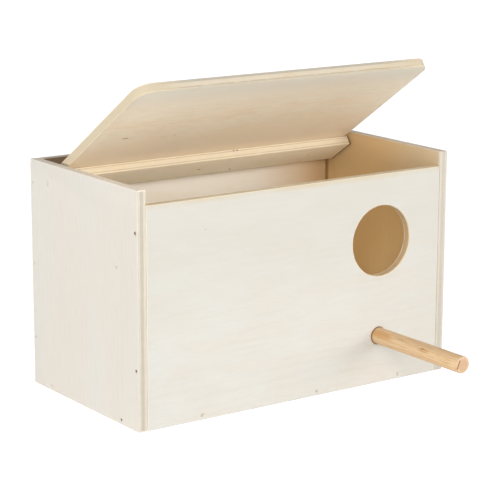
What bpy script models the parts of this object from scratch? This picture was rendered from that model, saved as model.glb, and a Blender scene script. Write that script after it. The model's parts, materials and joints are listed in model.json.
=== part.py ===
"""Budgie nest box of thin plywood, with a lid that swings on two pins and a round dowel perch.

Metres, +Z up. The origin is the centre of the underside, the front faces -Y, and +X is the right
hand side as seen from the front. The lid is modelled shut, under an empty on its pivot axis, and
the empty holds it half open.
"""

import math

import bmesh
import bpy
from mathutils import Vector

# The box: two full side panels outside, front, back and floor between them, the front lower
BOX_WIDTH = 0.2100
BOX_DEPTH = 0.1126
SIDE_HEIGHT = 0.1304
FRONT_DROP = 0.0085
PLY_THICKNESS = 0.0052
ARRIS_CHAMFER = 0.0003

# Clearances: between pieces that rest against each other, and where the lid swings
SEAT_GAP = 0.0003
LID_SIDE_GAP = 0.0025
LID_SWING_GAP = 0.0015
BATTEN_END_GAP = 0.0005

# The lid and the batten under its hinge end
LID_OVERHANG = 0.0114
LID_REAR_REACH = 0.0099
LID_LEFT_RADIUS = 0.0095
LID_RIGHT_RADIUS = 0.0080
LID_OPEN_ANGLE = math.radians(33.5)
BATTEN_WIDTH = 0.0214

# The entrance hole and the perch, placed from the right end of the front
ENTRANCE_DIAMETER = 0.0410
ENTRANCE_FROM_RIGHT = 0.0475
ENTRANCE_HEIGHT = 0.0835
PERCH_DIAMETER = 0.0096
PERCH_FROM_RIGHT = 0.0486
PERCH_HEIGHT = 0.0281
PERCH_REACH = 0.0728
PERCH_TAIL = 0.0020
PERCH_CHAMFER = 0.0005

# The shallow nest hollow in the floor, at the end away from the entrance
HOLLOW_DIAMETER = 0.0660
HOLLOW_DEPTH = 0.0024
HOLLOW_FROM_LEFT = 0.0600

# Panel nails, batten nails and the two hinge pins
NAIL_LENGTH = 0.0160
NAIL_SHANK_DIAMETER = 0.0012
NAIL_HEAD_DIAMETER = 0.0022
NAIL_HEAD_THICKNESS = 0.0006
NAIL_POINT_LENGTH = 0.0018
BRAD_LENGTH = 0.0090
PIN_LENGTH = 0.0230
PIN_SHANK_DIAMETER = 0.0016
PIN_HEAD_DIAMETER = 0.0030
PIN_HEAD_THICKNESS = 0.0008
PIN_POINT_LENGTH = 0.0024

# Places of the nails, as shares of the panel edge that they run along
FRONT_END_NAIL_SHARES = (0.275, 0.883)
BACK_END_NAIL_SHARES = (0.213, 0.541, 0.90)
FLOOR_END_NAIL_SHARES = (0.159, 0.825)
FLOOR_LONG_NAIL_SHARES = (0.19, 0.56, 0.84)
BATTEN_NAIL_LENGTH_SHARES = (0.128, 0.475, 0.602, 0.872)
BATTEN_NAIL_WIDTH_SHARES = (0.36, 0.58, 0.85, 0.52)

# Cutters reach this far past the faces that they open
CUT_OVERRUN = 0.0020

# Facets of round forms
HOLE_FACETS = 48
DOWEL_FACETS = 32
NAIL_FACETS = 12
HOLLOW_RINGS = 6
CORNER_FACETS = 8

# Planes and centres that several pieces share
INNER_WIDTH = BOX_WIDTH - 2 * PLY_THICKNESS
BETWEEN_SIDES = INNER_WIDTH - 2 * SEAT_GAP
HALF_PLY = PLY_THICKNESS / 2
FRONT_HEIGHT = SIDE_HEIGHT - FRONT_DROP
FRONT_FACE_Y = -BOX_DEPTH / 2
BACK_FACE_Y = BOX_DEPTH / 2
FRONT_MID_Y = FRONT_FACE_Y + HALF_PLY
BACK_MID_Y = BACK_FACE_Y - HALF_PLY
BACK_INNER_Y = BACK_FACE_Y - PLY_THICKNESS
ENTRANCE_X = BOX_WIDTH / 2 - ENTRANCE_FROM_RIGHT
PERCH_X = BOX_WIDTH / 2 - PERCH_FROM_RIGHT
HOLLOW_X = HOLLOW_FROM_LEFT - BOX_WIDTH / 2

# Heights in the shut lid, measured from the pivot axis in the middle of the batten
LID_LOW = HALF_PLY + SEAT_GAP
LID_HIGH = LID_LOW + PLY_THICKNESS
PIVOT_Z = FRONT_HEIGHT + SEAT_GAP - LID_LOW
PIVOT_Y = BACK_INNER_Y - LID_SWING_GAP - math.hypot(LID_REAR_REACH, LID_HIGH)
LID_FRONT_REACH = PIVOT_Y - FRONT_FACE_Y + LID_OVERHANG
LID_WIDTH = INNER_WIDTH - 2 * LID_SIDE_GAP
BATTEN_FRONT_REACH = BATTEN_WIDTH - LID_REAR_REACH
BATTEN_LENGTH = INNER_WIDTH - 2 * BATTEN_END_GAP

# Linear colours
OUTER_VENEER = (0.80, 0.76, 0.67)
INNER_VENEER = (0.62, 0.50, 0.33)
BATTEN_VENEER = (0.60, 0.48, 0.34)
DOWEL_WOOD = (0.72, 0.50, 0.26)
DULL_STEEL = (0.36, 0.35, 0.33)


def clear_scene():
    """Remove what the scene holds, so that the model is all that there is."""
    for thing in list(bpy.data.objects):
        bpy.data.objects.remove(thing, do_unlink=True)


def new_collection(name):
    """Add a collection to the scene."""
    collection = bpy.data.collections.new(name)
    bpy.context.scene.collection.children.link(collection)
    return collection


def new_material(name, colour, roughness, metallic=0.0):
    """Make one plain surface."""
    material = bpy.data.materials.new(name)
    material.use_nodes = True
    shader = material.node_tree.nodes["Principled BSDF"]
    shader.inputs["Base Color"].default_value = (*colour, 1.0)
    shader.inputs["Roughness"].default_value = roughness
    shader.inputs["Metallic"].default_value = metallic
    return material


def plywood(piece, colour):
    """Pale sanded plywood."""
    return new_material(piece + "_plywood", colour, 0.72)


def dowel_wood(piece):
    """Smooth round softwood rod."""
    return new_material(piece + "_wood", DOWEL_WOOD, 0.62)


def nail_steel(piece):
    """Dull wire-nail steel."""
    return new_material(piece + "_steel", DULL_STEEL, 0.45, 1.0)


def add_object(name, mesh, collection, material=None):
    """Put a mesh into a collection as a named object."""
    thing = bpy.data.objects.new(name, mesh)
    collection.objects.link(thing)
    if material:
        mesh.materials.append(material)
    return thing


def box_mesh(name, size, centre):
    """A box as a mesh, with its centre placed in the mesh itself."""
    form = bmesh.new()
    bmesh.ops.create_cube(form, size=1.0)
    bmesh.ops.scale(form, vec=Vector(size), verts=form.verts)
    bmesh.ops.translate(form, vec=Vector(centre), verts=form.verts)
    mesh = bpy.data.meshes.new(name)
    form.to_mesh(mesh)
    form.free()
    return mesh


def ease_edges(thing):
    """Take the sharp arris off a board's edges."""
    bevel = thing.modifiers.new("eased_arris", "BEVEL")
    bevel.width = ARRIS_CHAMFER
    bevel.segments = 1
    bevel.limit_method = "ANGLE"
    bevel.angle_limit = math.radians(60)


def add_board(name, size, centre, collection, colour):
    """A rectangular plywood board with eased edges."""
    thing = add_object(name, box_mesh(name, size, centre), collection, plywood(name, colour))
    ease_edges(thing)
    return thing


def add_turned(name, profile, facets, collection, material=None):
    """Turn a profile of (radius, height) points, listed top to bottom, about Z."""
    mesh = bpy.data.meshes.new(name)
    points = [(radius, 0, height) for radius, height in profile]
    mesh.from_pydata(points, [(i, i + 1) for i in range(len(points) - 1)], [])
    thing = add_object(name, mesh, collection, material)
    screw = thing.modifiers.new("turning", "SCREW")
    screw.axis = "Z"
    screw.steps = facets
    screw.render_steps = facets
    screw.use_merge_vertices = True
    screw.merge_threshold = 0.000001
    screw.use_smooth_shade = True
    return thing


def make_cutter(thing):
    """Mark an object as a cutter, which only shows as a wire."""
    thing.hide_render = True
    thing.display_type = "WIRE"
    return thing


def cut(thing, cutter):
    """Take a cutter's shape out of a piece."""
    boolean = thing.modifiers.new(cutter.name, "BOOLEAN")
    boolean.operation = "DIFFERENCE"
    boolean.solver = "EXACT"
    boolean.object = cutter


def fastener_sizes(length, shank_diameter, head_diameter, head_thickness, point_length):
    """Name the sizes of a nail or pin."""
    return {
        "length": length,
        "shank": shank_diameter / 2,
        "head": head_diameter / 2,
        "head_thickness": head_thickness,
        "point": point_length,
    }


NAIL = fastener_sizes(
    NAIL_LENGTH, NAIL_SHANK_DIAMETER, NAIL_HEAD_DIAMETER, NAIL_HEAD_THICKNESS, NAIL_POINT_LENGTH
)
BRAD = fastener_sizes(
    BRAD_LENGTH, NAIL_SHANK_DIAMETER, NAIL_HEAD_DIAMETER, NAIL_HEAD_THICKNESS, NAIL_POINT_LENGTH
)
PIN = fastener_sizes(
    PIN_LENGTH, PIN_SHANK_DIAMETER, PIN_HEAD_DIAMETER, PIN_HEAD_THICKNESS, PIN_POINT_LENGTH
)


def nail_profile(sizes):
    """Flat head flush with the wood, round shank and a conical point, down -Z."""
    return [
        (0, 0),
        (sizes["head"], 0),
        (sizes["head"], -sizes["head_thickness"]),
        (sizes["shank"], -sizes["head_thickness"]),
        (sizes["shank"], sizes["point"] - sizes["length"]),
        (0, -sizes["length"]),
    ]


def nail_hole_profile(sizes):
    """The same outline, larger by the seat gap and open past the face."""
    return [
        (0, CUT_OVERRUN),
        (sizes["head"] + SEAT_GAP, CUT_OVERRUN),
        (sizes["head"] + SEAT_GAP, -sizes["head_thickness"] - SEAT_GAP),
        (sizes["shank"] + SEAT_GAP, -sizes["head_thickness"] - SEAT_GAP),
        (sizes["shank"] + SEAT_GAP, -sizes["length"] - SEAT_GAP),
        (0, -sizes["length"] - SEAT_GAP),
    ]


def drive(name, sizes, head, direction, boards, collections, parent=None):
    """Drive a nail through boards: its head's centre, the way it points, and what it pierces."""
    parts, cutters = collections
    nail = add_turned(name, nail_profile(sizes), NAIL_FACETS, parts, nail_steel(name))
    hole = make_cutter(
        add_turned("hole_of_" + name, nail_hole_profile(sizes), NAIL_FACETS, cutters)
    )
    for thing in (nail, hole):
        thing.location = head
        thing.rotation_euler = Vector(direction).to_track_quat("-Z", "Y").to_euler()
        thing.parent = parent
    for board in boards:
        cut(board, hole)
    return nail


def make_side_panel(side, sign, parts):
    """One full-height side, outside the other panels."""
    return add_board(
        side + "_side_panel",
        (PLY_THICKNESS, BOX_DEPTH, SIDE_HEIGHT),
        (sign * (BOX_WIDTH / 2 - HALF_PLY), 0, SIDE_HEIGHT / 2),
        parts,
        OUTER_VENEER,
    )


def make_front_panel(parts, cutters):
    """The lower front, with the entrance hole and the perch hole."""
    panel = add_board(
        "front_panel",
        (BETWEEN_SIDES, PLY_THICKNESS, FRONT_HEIGHT),
        (0, FRONT_MID_Y, FRONT_HEIGHT / 2),
        parts,
        OUTER_VENEER,
    )
    for name, radius, x, z in (
        ("entrance_hole", ENTRANCE_DIAMETER / 2, ENTRANCE_X, ENTRANCE_HEIGHT),
        ("perch_hole", PERCH_DIAMETER / 2 + SEAT_GAP, PERCH_X, PERCH_HEIGHT),
    ):
        drill = round_cutter(name, radius, PLY_THICKNESS + 2 * CUT_OVERRUN, cutters)
        drill.location = (x, FRONT_MID_Y, z)
        drill.rotation_euler = (math.radians(90), 0, 0)
        cut(panel, drill)
    return panel


def round_cutter(name, radius, length, cutters):
    """A cylinder about Z that drills a round hole."""
    form = bmesh.new()
    bmesh.ops.create_cone(
        form, cap_ends=True, segments=HOLE_FACETS, radius1=radius, radius2=radius, depth=length
    )
    mesh = bpy.data.meshes.new(name)
    form.to_mesh(mesh)
    form.free()
    mesh.shade_smooth()
    return make_cutter(add_object(name, mesh, cutters))


def make_back_panel(parts):
    """The back, as tall as the sides."""
    return add_board(
        "back_panel",
        (BETWEEN_SIDES, PLY_THICKNESS, SIDE_HEIGHT),
        (0, BACK_MID_Y, SIDE_HEIGHT / 2),
        parts,
        OUTER_VENEER,
    )


def hollow_profile():
    """The nest hollow as a lens: a shallow arc below, a flat lid above the floor."""
    rim = HOLLOW_DIAMETER / 2
    ball = (rim**2 + HOLLOW_DEPTH**2) / (2 * HOLLOW_DEPTH)
    sweep = math.asin(rim / ball)
    points = [(0, CUT_OVERRUN), (rim, CUT_OVERRUN)]
    for ring in range(HOLLOW_RINGS):
        angle = sweep * (1 - ring / HOLLOW_RINGS)
        points.append((ball * math.sin(angle), ball - HOLLOW_DEPTH - ball * math.cos(angle)))
    points.append((0, -HOLLOW_DEPTH))
    return points


def make_floor_panel(parts, cutters):
    """The floor between the four walls, with the shallow hollow for the eggs."""
    panel = add_board(
        "floor_panel",
        (BETWEEN_SIDES, BOX_DEPTH - 2 * (PLY_THICKNESS + SEAT_GAP), PLY_THICKNESS),
        (0, 0, HALF_PLY),
        parts,
        INNER_VENEER,
    )
    bowl = make_cutter(add_turned("nest_hollow", hollow_profile(), HOLE_FACETS, cutters))
    bowl.location = (HOLLOW_X, 0, PLY_THICKNESS)
    cut(panel, bowl)
    return panel


def arc_points(centre, radius, start):
    """A quarter turn of points about a centre, counter-clockwise from an angle."""
    steps = [start + math.radians(90) * i / CORNER_FACETS for i in range(CORNER_FACETS + 1)]
    return [
        (centre[0] + radius * math.cos(angle), centre[1] + radius * math.sin(angle))
        for angle in steps
    ]


def lid_outline():
    """The lid from above, counter-clockwise, with its two rounded front corners."""
    half = LID_WIDTH / 2
    left = (LID_LEFT_RADIUS - half, LID_LEFT_RADIUS - LID_FRONT_REACH)
    right = (half - LID_RIGHT_RADIUS, LID_RIGHT_RADIUS - LID_FRONT_REACH)
    outline = [(half, LID_REAR_REACH), (-half, LID_REAR_REACH)]
    outline += arc_points(left, LID_LEFT_RADIUS, math.radians(180))
    outline += arc_points(right, LID_RIGHT_RADIUS, math.radians(270))
    return outline


def outline_board(name, outline, thickness, middle, parts, colour):
    """A board of any outline: a flat closed curve, extruded, then turned into a mesh."""
    curve = bpy.data.curves.new(name + "_outline", "CURVE")
    curve.dimensions = "2D"
    curve.fill_mode = "BOTH"
    curve.extrude = thickness / 2
    spline = curve.splines.new("POLY")
    spline.points.add(len(outline) - 1)
    for point, place in zip(spline.points, outline):
        point.co = (*place, 0, 1)
    spline.use_cyclic_u = True
    drawn = bpy.data.objects.new(name + "_outline", curve)
    parts.objects.link(drawn)
    bpy.context.view_layer.update()
    seen = drawn.evaluated_get(bpy.context.evaluated_depsgraph_get())
    mesh = bpy.data.meshes.new_from_object(seen)
    bpy.data.objects.remove(drawn, do_unlink=True)
    weld(mesh, middle)
    thing = add_object(name, mesh, parts, plywood(name, colour))
    ease_edges(thing)
    return thing


def weld(mesh, lift):
    """Close an extruded outline's caps, and lift the mesh to its height."""
    form = bmesh.new()
    form.from_mesh(mesh)
    bmesh.ops.remove_doubles(form, verts=form.verts, dist=0.000001)
    bmesh.ops.dissolve_limit(
        form, angle_limit=math.radians(1), verts=form.verts, edges=form.edges
    )
    bmesh.ops.recalc_face_normals(form, faces=form.faces)
    bmesh.ops.translate(form, vec=(0, 0, lift), verts=form.verts)
    form.to_mesh(mesh)
    form.free()


def make_pivot(parts):
    """The lid's pivot: an empty on the pins' axis that holds the lid half open."""
    pivot = bpy.data.objects.new("lid_pivot", None)
    pivot.location = (0, PIVOT_Y, PIVOT_Z)
    pivot.rotation_euler = (-LID_OPEN_ANGLE, 0, 0)
    parts.objects.link(pivot)
    return pivot


def make_lid(pivot, parts):
    """The lid board and the batten that carries the pins."""
    lid = outline_board(
        "lid_panel", lid_outline(), PLY_THICKNESS, LID_LOW + HALF_PLY, parts, INNER_VENEER
    )
    batten = add_board(
        "lid_batten",
        (BATTEN_LENGTH, BATTEN_WIDTH, PLY_THICKNESS),
        (0, LID_REAR_REACH - BATTEN_WIDTH / 2, 0),
        parts,
        BATTEN_VENEER,
    )
    for thing in (lid, batten):
        thing.parent = pivot
    return lid, batten


def make_perch(parts):
    """The dowel through the front, its outer end slightly rounded over."""
    radius = PERCH_DIAMETER / 2
    outer = PERCH_REACH
    inner = -PLY_THICKNESS - PERCH_TAIL
    profile = [
        (0, outer),
        (radius - PERCH_CHAMFER, outer),
        (radius, outer - PERCH_CHAMFER),
        (radius, inner + PERCH_CHAMFER),
        (radius - PERCH_CHAMFER, inner),
        (0, inner),
    ]
    perch = add_turned("perch", profile, DOWEL_FACETS, parts, dowel_wood("perch"))
    perch.location = (PERCH_X, FRONT_FACE_Y, PERCH_HEIGHT)
    perch.rotation_euler = (math.radians(90), 0, 0)
    return perch


def nail_side(side, sign, boards, collections):
    """The nails through one side into the ends of the front, back and floor, and the hinge pin."""
    face = sign * BOX_WIDTH / 2
    inward = (-sign, 0, 0)
    panel = boards[side]
    rows = (
        ("front", [(FRONT_MID_Y, share * FRONT_HEIGHT) for share in FRONT_END_NAIL_SHARES]),
        ("back", [(BACK_MID_Y, share * SIDE_HEIGHT) for share in BACK_END_NAIL_SHARES]),
        ("floor", [((share - 0.5) * BOX_DEPTH, HALF_PLY) for share in FLOOR_END_NAIL_SHARES]),
    )
    for row, places in rows:
        for count, (y, z) in enumerate(places, 1):
            name = f"{side}_{row}_nail_{count}"
            drive(name, NAIL, (face, y, z), inward, (panel, boards[row]), collections)


def nail_floor(boards, collections):
    """The nails through the front and the back into the floor's long edges."""
    for row, face, inward in (("front", FRONT_FACE_Y, 1), ("back", BACK_FACE_Y, -1)):
        for count, share in enumerate(FLOOR_LONG_NAIL_SHARES, 1):
            head = ((share - 0.5) * BOX_WIDTH, face, HALF_PLY)
            name = f"{row}_floor_nail_{count}"
            pair = (boards[row], boards["floor"])
            drive(name, NAIL, head, (0, inward, 0), pair, collections)


def pin_lid(boards, collections):
    """The two hinge pins, through the sides into the ends of the batten."""
    for side, sign in (("left", -1), ("right", 1)):
        head = (sign * BOX_WIDTH / 2, PIVOT_Y, PIVOT_Z)
        pair = (boards[side], boards["batten"])
        drive(side + "_hinge_pin", PIN, head, (-sign, 0, 0), pair, collections)


def nail_batten(pivot, boards, collections):
    """The short nails through the batten into the lid."""
    places = zip(BATTEN_NAIL_LENGTH_SHARES, BATTEN_NAIL_WIDTH_SHARES)
    for count, (along, across) in enumerate(places, 1):
        head = (
            (along - 0.5) * BATTEN_LENGTH,
            across * BATTEN_WIDTH - BATTEN_FRONT_REACH,
            -HALF_PLY,
        )
        pair = (boards["batten"], boards["lid"])
        drive(f"batten_nail_{count}", BRAD, head, (0, 0, 1), pair, collections, pivot)


def main():
    """Build the nest box."""
    clear_scene()
    parts = new_collection("budgie_nest_box")
    cutters = new_collection("cutters")
    pivot = make_pivot(parts)
    lid, batten = make_lid(pivot, parts)
    boards = {
        "left": make_side_panel("left", -1, parts),
        "right": make_side_panel("right", 1, parts),
        "front": make_front_panel(parts, cutters),
        "back": make_back_panel(parts),
        "floor": make_floor_panel(parts, cutters),
        "lid": lid,
        "batten": batten,
    }
    make_perch(parts)
    collections = (parts, cutters)
    nail_side("left", -1, boards, collections)
    nail_side("right", 1, boards, collections)
    nail_floor(boards, collections)
    pin_lid(boards, collections)
    nail_batten(pivot, boards, collections)
    bpy.context.view_layer.update()


main()
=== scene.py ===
"""Looks of the budgie nest box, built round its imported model.

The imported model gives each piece's place and size. Each board, nail, pin and the perch is modelled
again here with the detail that the real ones show: plies and glue lines along the sawn edges, eased
arrises, drilled rims, sunk nail heads, and a dowel with its knot and end grain.
"""

import json
import logging
import math
from collections.abc import Callable, Iterator, Mapping, Sequence
from contextlib import contextmanager
from dataclasses import dataclass, field, replace
from enum import Enum, IntEnum

import bmesh
import bpy
from mathutils import Matrix, Vector

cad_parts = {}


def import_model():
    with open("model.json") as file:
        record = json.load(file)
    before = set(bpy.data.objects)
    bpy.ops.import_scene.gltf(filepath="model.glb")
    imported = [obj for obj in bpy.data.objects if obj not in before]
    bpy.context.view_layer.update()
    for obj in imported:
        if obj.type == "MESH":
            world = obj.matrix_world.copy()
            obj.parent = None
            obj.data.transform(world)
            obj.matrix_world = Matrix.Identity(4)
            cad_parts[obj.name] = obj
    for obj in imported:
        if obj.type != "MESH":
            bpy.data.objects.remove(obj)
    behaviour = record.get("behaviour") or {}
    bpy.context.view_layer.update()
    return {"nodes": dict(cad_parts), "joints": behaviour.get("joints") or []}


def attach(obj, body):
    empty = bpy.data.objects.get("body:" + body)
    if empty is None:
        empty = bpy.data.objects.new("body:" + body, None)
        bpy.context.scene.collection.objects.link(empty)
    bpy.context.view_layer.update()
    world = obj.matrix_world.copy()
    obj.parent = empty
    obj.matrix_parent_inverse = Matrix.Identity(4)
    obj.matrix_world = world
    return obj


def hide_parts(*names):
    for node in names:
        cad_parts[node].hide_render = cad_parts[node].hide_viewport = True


LOG = logging.getLogger("nest_box")

Colour = tuple[float, float, float]
Profile = Sequence[tuple[float, float]]

MM = 0.001
SCREEN_WHITE = 255
FULL_TURN = 2 * math.pi
WELD = 0.000001
NEAR = 0.00001
NOISE_MIDDLE = 0.5
WHITE: Colour = (1.0, 1.0, 1.0)
SMOOTH_ANGLE = math.radians(32)
ARRIS_ANGLE = math.radians(50)
SHADE_TOE = 0.04045
SHADE_SLOPE = 12.92
SHADE_LIFT = 0.055
SHADE_POWER = 2.4


def shade(red: int, green: int, blue: int) -> Colour:
    """Turn a colour as a screen shows it into linear light.

    Args:
        red: Red from 0 to 255.
        green: Green from 0 to 255.
        blue: Blue from 0 to 255.

    Returns:
        The three parts from 0 to 1, in linear light.
    """

    def straighten(part: int) -> float:
        """Take the screen's curve off one part.

        Args:
            part: One part of the colour, from 0 to 255.

        Returns:
            The same in linear light, from 0 to 1.
        """
        value = part / SCREEN_WHITE
        if value <= SHADE_TOE:
            return value / SHADE_SLOPE
        return ((value + SHADE_LIFT) / (1 + SHADE_LIFT)) ** SHADE_POWER

    return straighten(red), straighten(green), straighten(blue)


# Shader sums


class Signal:
    """One number that changes over a surface, with Python's sums standing for Math nodes."""

    def __init__(self, bench: "Bench", socket: bpy.types.NodeSocket) -> None:
        """Wrap the socket that gives the number."""
        self.bench = bench
        self.socket = socket

    def __add__(self, other: "Term") -> "Signal":
        """Sum."""
        return self.bench.sum_up("ADD", self, other)

    __radd__ = __add__

    def __sub__(self, other: "Term") -> "Signal":
        """Difference."""
        return self.bench.sum_up("SUBTRACT", self, other)

    def __rsub__(self, other: "Term") -> "Signal":
        """Difference from a number."""
        return self.bench.sum_up("SUBTRACT", other, self)

    def __mul__(self, other: "Term") -> "Signal":
        """Product."""
        return self.bench.sum_up("MULTIPLY", self, other)

    def __truediv__(self, other: "Term") -> "Signal":
        """Quotient."""
        return self.bench.sum_up("DIVIDE", self, other)

    def __rtruediv__(self, other: "Term") -> "Signal":
        """Quotient of a number by this."""
        return self.bench.sum_up("DIVIDE", other, self)

    def __pow__(self, other: "Term") -> "Signal":
        """Power."""
        return self.bench.sum_up("POWER", self, other)

    def __abs__(self) -> "Signal":
        """Distance from zero."""
        return self.bench.sum_up("ABSOLUTE", self)

    def wave(self) -> "Signal":
        """Rise and fall between 0 and 1, once for each whole number."""
        return (self.bench.sum_up("SINE", self * FULL_TURN) + 1) / 2

    def root(self) -> "Signal":
        """Square root."""
        return self.bench.sum_up("SQRT", self)

    def least(self, other: "Term") -> "Signal":
        """The smaller of two."""
        return self.bench.sum_up("MINIMUM", self, other)

    def most(self, other: "Term") -> "Signal":
        """The larger of two."""
        return self.bench.sum_up("MAXIMUM", self, other)

    def between(self, low: float, high: float) -> "Signal":
        """Rise smoothly from 0 to 1.

        Args:
            low: Value where the rise starts.
            high: Value where it has reached 1.

        Returns:
            The share from 0 to 1.
        """
        made = self.bench.node(
            "ShaderNodeMapRange",
            {"interpolation_type": "SMOOTHSTEP"},
            {"Value": self, "From Min": low, "From Max": high},
        )
        return self.bench.read(made)


Term = Signal | float


def distance(*parts: Term) -> Signal:
    """Length of the way that has these parts."""
    return sum(part * part for part in parts).root()


def weigh(parts: Sequence[Term], weights: Sequence[float]) -> Term:
    """Add up parts, each times its weight."""
    return sum(part * weight for part, weight in zip(parts, weights))


class Bench:
    """One material or world in the making: its nodes and their links."""

    def __init__(self, owner: bpy.types.Material | bpy.types.World, shader: str) -> None:
        """Take up a material or world.

        Args:
            owner: The material or world.
            shader: The name of its main shader's node.
        """
        self.owner = owner
        owner.use_nodes = True
        self.tree = owner.node_tree
        self.shader = self.tree.nodes[shader]

    @classmethod
    def start(cls, name: str) -> "Bench":
        """Start a material with a principled shader."""
        return cls(bpy.data.materials.new(name), "Principled BSDF")

    def node(
        self,
        kind: str,
        settings: Mapping[str, object] | None = None,
        sockets: Mapping[str, object] | None = None,
    ) -> bpy.types.Node:
        """Add any node.

        Args:
            kind: The node's type.
            settings: What is chosen on the node itself, set before its sockets.
            sockets: Values or links of its input sockets, by name.

        Returns:
            The node.
        """
        made = self.tree.nodes.new(kind)
        for key, value in (settings or {}).items():
            setattr(made, key, value)
        for key, value in (sockets or {}).items():
            self.feed(made, key, value)
        return made

    def feed(self, node: bpy.types.Node, key: str, value: object) -> None:
        """Link or set one input socket.

        Args:
            node: The node whose socket it is.
            key: The socket's name.
            value: A signal, a socket, a number or a colour.
        """
        socket = next(s for s in node.inputs if s.name == key and s.enabled)
        if isinstance(value, Signal):
            self.tree.links.new(value.socket, socket)
        elif isinstance(value, bpy.types.NodeSocket):
            self.tree.links.new(value, socket)
        elif socket.type == "RGBA":
            socket.default_value = (*value, 1.0)
        else:
            socket.default_value = value

    def output(self, node: bpy.types.Node, name: str = "") -> bpy.types.NodeSocket:
        """One of a node's outputs, the first that is in use unless a name is given."""
        return next(s for s in node.outputs if s.enabled and name in ("", s.name))

    def read(self, node: bpy.types.Node, name: str = "") -> Signal:
        """One of a node's outputs as a signal."""
        return Signal(self, self.output(node, name))

    def sum_up(self, operation: str, *terms: Term) -> Signal:
        """Add one Math node.

        Args:
            operation: The sum, as the node names it.
            terms: Signals or plain numbers, in the node's order.

        Returns:
            The result.
        """
        made = self.node("ShaderNodeMath", {"operation": operation})
        for socket, term in zip(made.inputs, terms):
            if isinstance(term, Signal):
                self.tree.links.new(term.socket, socket)
            else:
                socket.default_value = term
        return self.read(made)

    def place(self, lay: Matrix) -> tuple[Signal, Signal, Signal]:
        """Coordinates of a surface point in a piece's own frame.

        Args:
            lay: The matrix that lays the piece in the nest box.

        Returns:
            Its distances along, across and through the piece, in metres.
        """
        mapped = self.node(
            "ShaderNodeMapping",
            {"vector_type": "TEXTURE"},
            {
                "Vector": self.output(self.node("ShaderNodeTexCoord"), "Object"),
                "Location": lay.to_translation(),
                "Rotation": lay.to_euler(),
            },
        )
        parts = self.node("ShaderNodeSeparateXYZ", sockets={"Vector": self.output(mapped)})
        return tuple(self.read(parts, axis) for axis in "XYZ")

    def noise(self, along: Term, across: Term, through: Term, detail: float) -> Signal:
        """Soft random values about a half.

        Args:
            along: First part of the point, already stretched.
            across: Second part.
            through: Third part.
            detail: How many finer layers are added.

        Returns:
            Values from 0 to 1.
        """
        point = self.node(
            "ShaderNodeCombineXYZ", sockets={"X": along, "Y": across, "Z": through}
        )
        sockets = {"Vector": self.output(point), "Scale": 1.0, "Detail": detail}
        return self.read(self.node("ShaderNodeTexNoise", sockets=sockets))

    def coat(self, ground: object, *coats: tuple[Term, object]) -> bpy.types.NodeSocket:
        """Lay colours over a ground, one after another.

        Args:
            ground: The colour below.
            coats: How much of each colour shows, and the colour.

        Returns:
            The resulting colour's socket.
        """
        for share, colour in coats:
            made = self.node(
                "ShaderNodeMix",
                {"data_type": "RGBA", "clamp_factor": True},
                {"Factor": share, "A": ground, "B": colour},
            )
            ground = self.output(made)
        return ground

    def finish(
        self,
        colour: object,
        roughness: Term,
        height: Signal,
        relief: float,
        gloss: float,
        metal: float = 0.0,
    ) -> bpy.types.Material:
        """Join the results to the shader.

        Args:
            colour: Base colour.
            roughness: Roughness.
            height: Relief from 0 to 1.
            relief: Depth of the relief in metres.
            gloss: Specular level, the same all over.
            metal: 1 for bare metal.

        Returns:
            The finished material.
        """
        bump = self.node(
            "ShaderNodeBump",
            sockets={"Strength": 1.0, "Distance": relief, "Height": height},
        )
        self.feed(self.shader, "Base Color", colour)
        self.feed(self.shader, "Roughness", roughness)
        self.feed(self.shader, "Normal", self.output(bump))
        self.feed(self.shader, "Specular IOR Level", gloss)
        self.feed(self.shader, "Metallic", metal)
        return self.owner


# Finishes


Place = tuple[Term, Term, Term]


@dataclass(frozen=True)
class Grain:
    """A random pattern, stretched the way the wood's fibres run.

    Attributes:
        sizes: Its size along, across and through the wood.
        rise: Noise values where the pattern begins and where it is full.
        detail: How many finer layers it has.
        shift: Moves it against the other patterns on the same piece.
    """

    sizes: tuple[float, float, float]
    rise: tuple[float, float] = (0.35, 0.65)
    detail: float = 2.0
    shift: float = 0.0

    def waver(self, bench: Bench, place: Place, seed: float = 0.0) -> Signal:
        """Let a value waver to both sides of zero.

        Args:
            bench: The material in the making.
            place: The surface point in the piece's own frame.
            seed: Moves the pattern, so that no two pieces match.

        Returns:
            Values about zero.
        """
        moved = seed + self.shift
        point = [part / size + moved for part, size in zip(place, self.sizes)]
        return bench.noise(*point, self.detail) - NOISE_MIDDLE

    def over(self, bench: Bench, place: Place, seed: float = 0.0) -> Signal:
        """Spread the pattern over the surface.

        Args:
            bench: The material in the making.
            place: The surface point in the piece's own frame.
            seed: Moves the pattern, so that no two pieces match.

        Returns:
            The pattern's strength, from 0 to 1.
        """
        low, high = self.rise
        return self.waver(bench, place, seed).between(low - NOISE_MIDDLE, high - NOISE_MIDDLE)


def over_all(
    grains: Sequence[Grain], bench: Bench, place: Place, seed: float = 0.0
) -> Iterator[Signal]:
    """Spread several patterns over one surface."""
    return (grain.over(bench, place, seed) for grain in grains)


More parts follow.
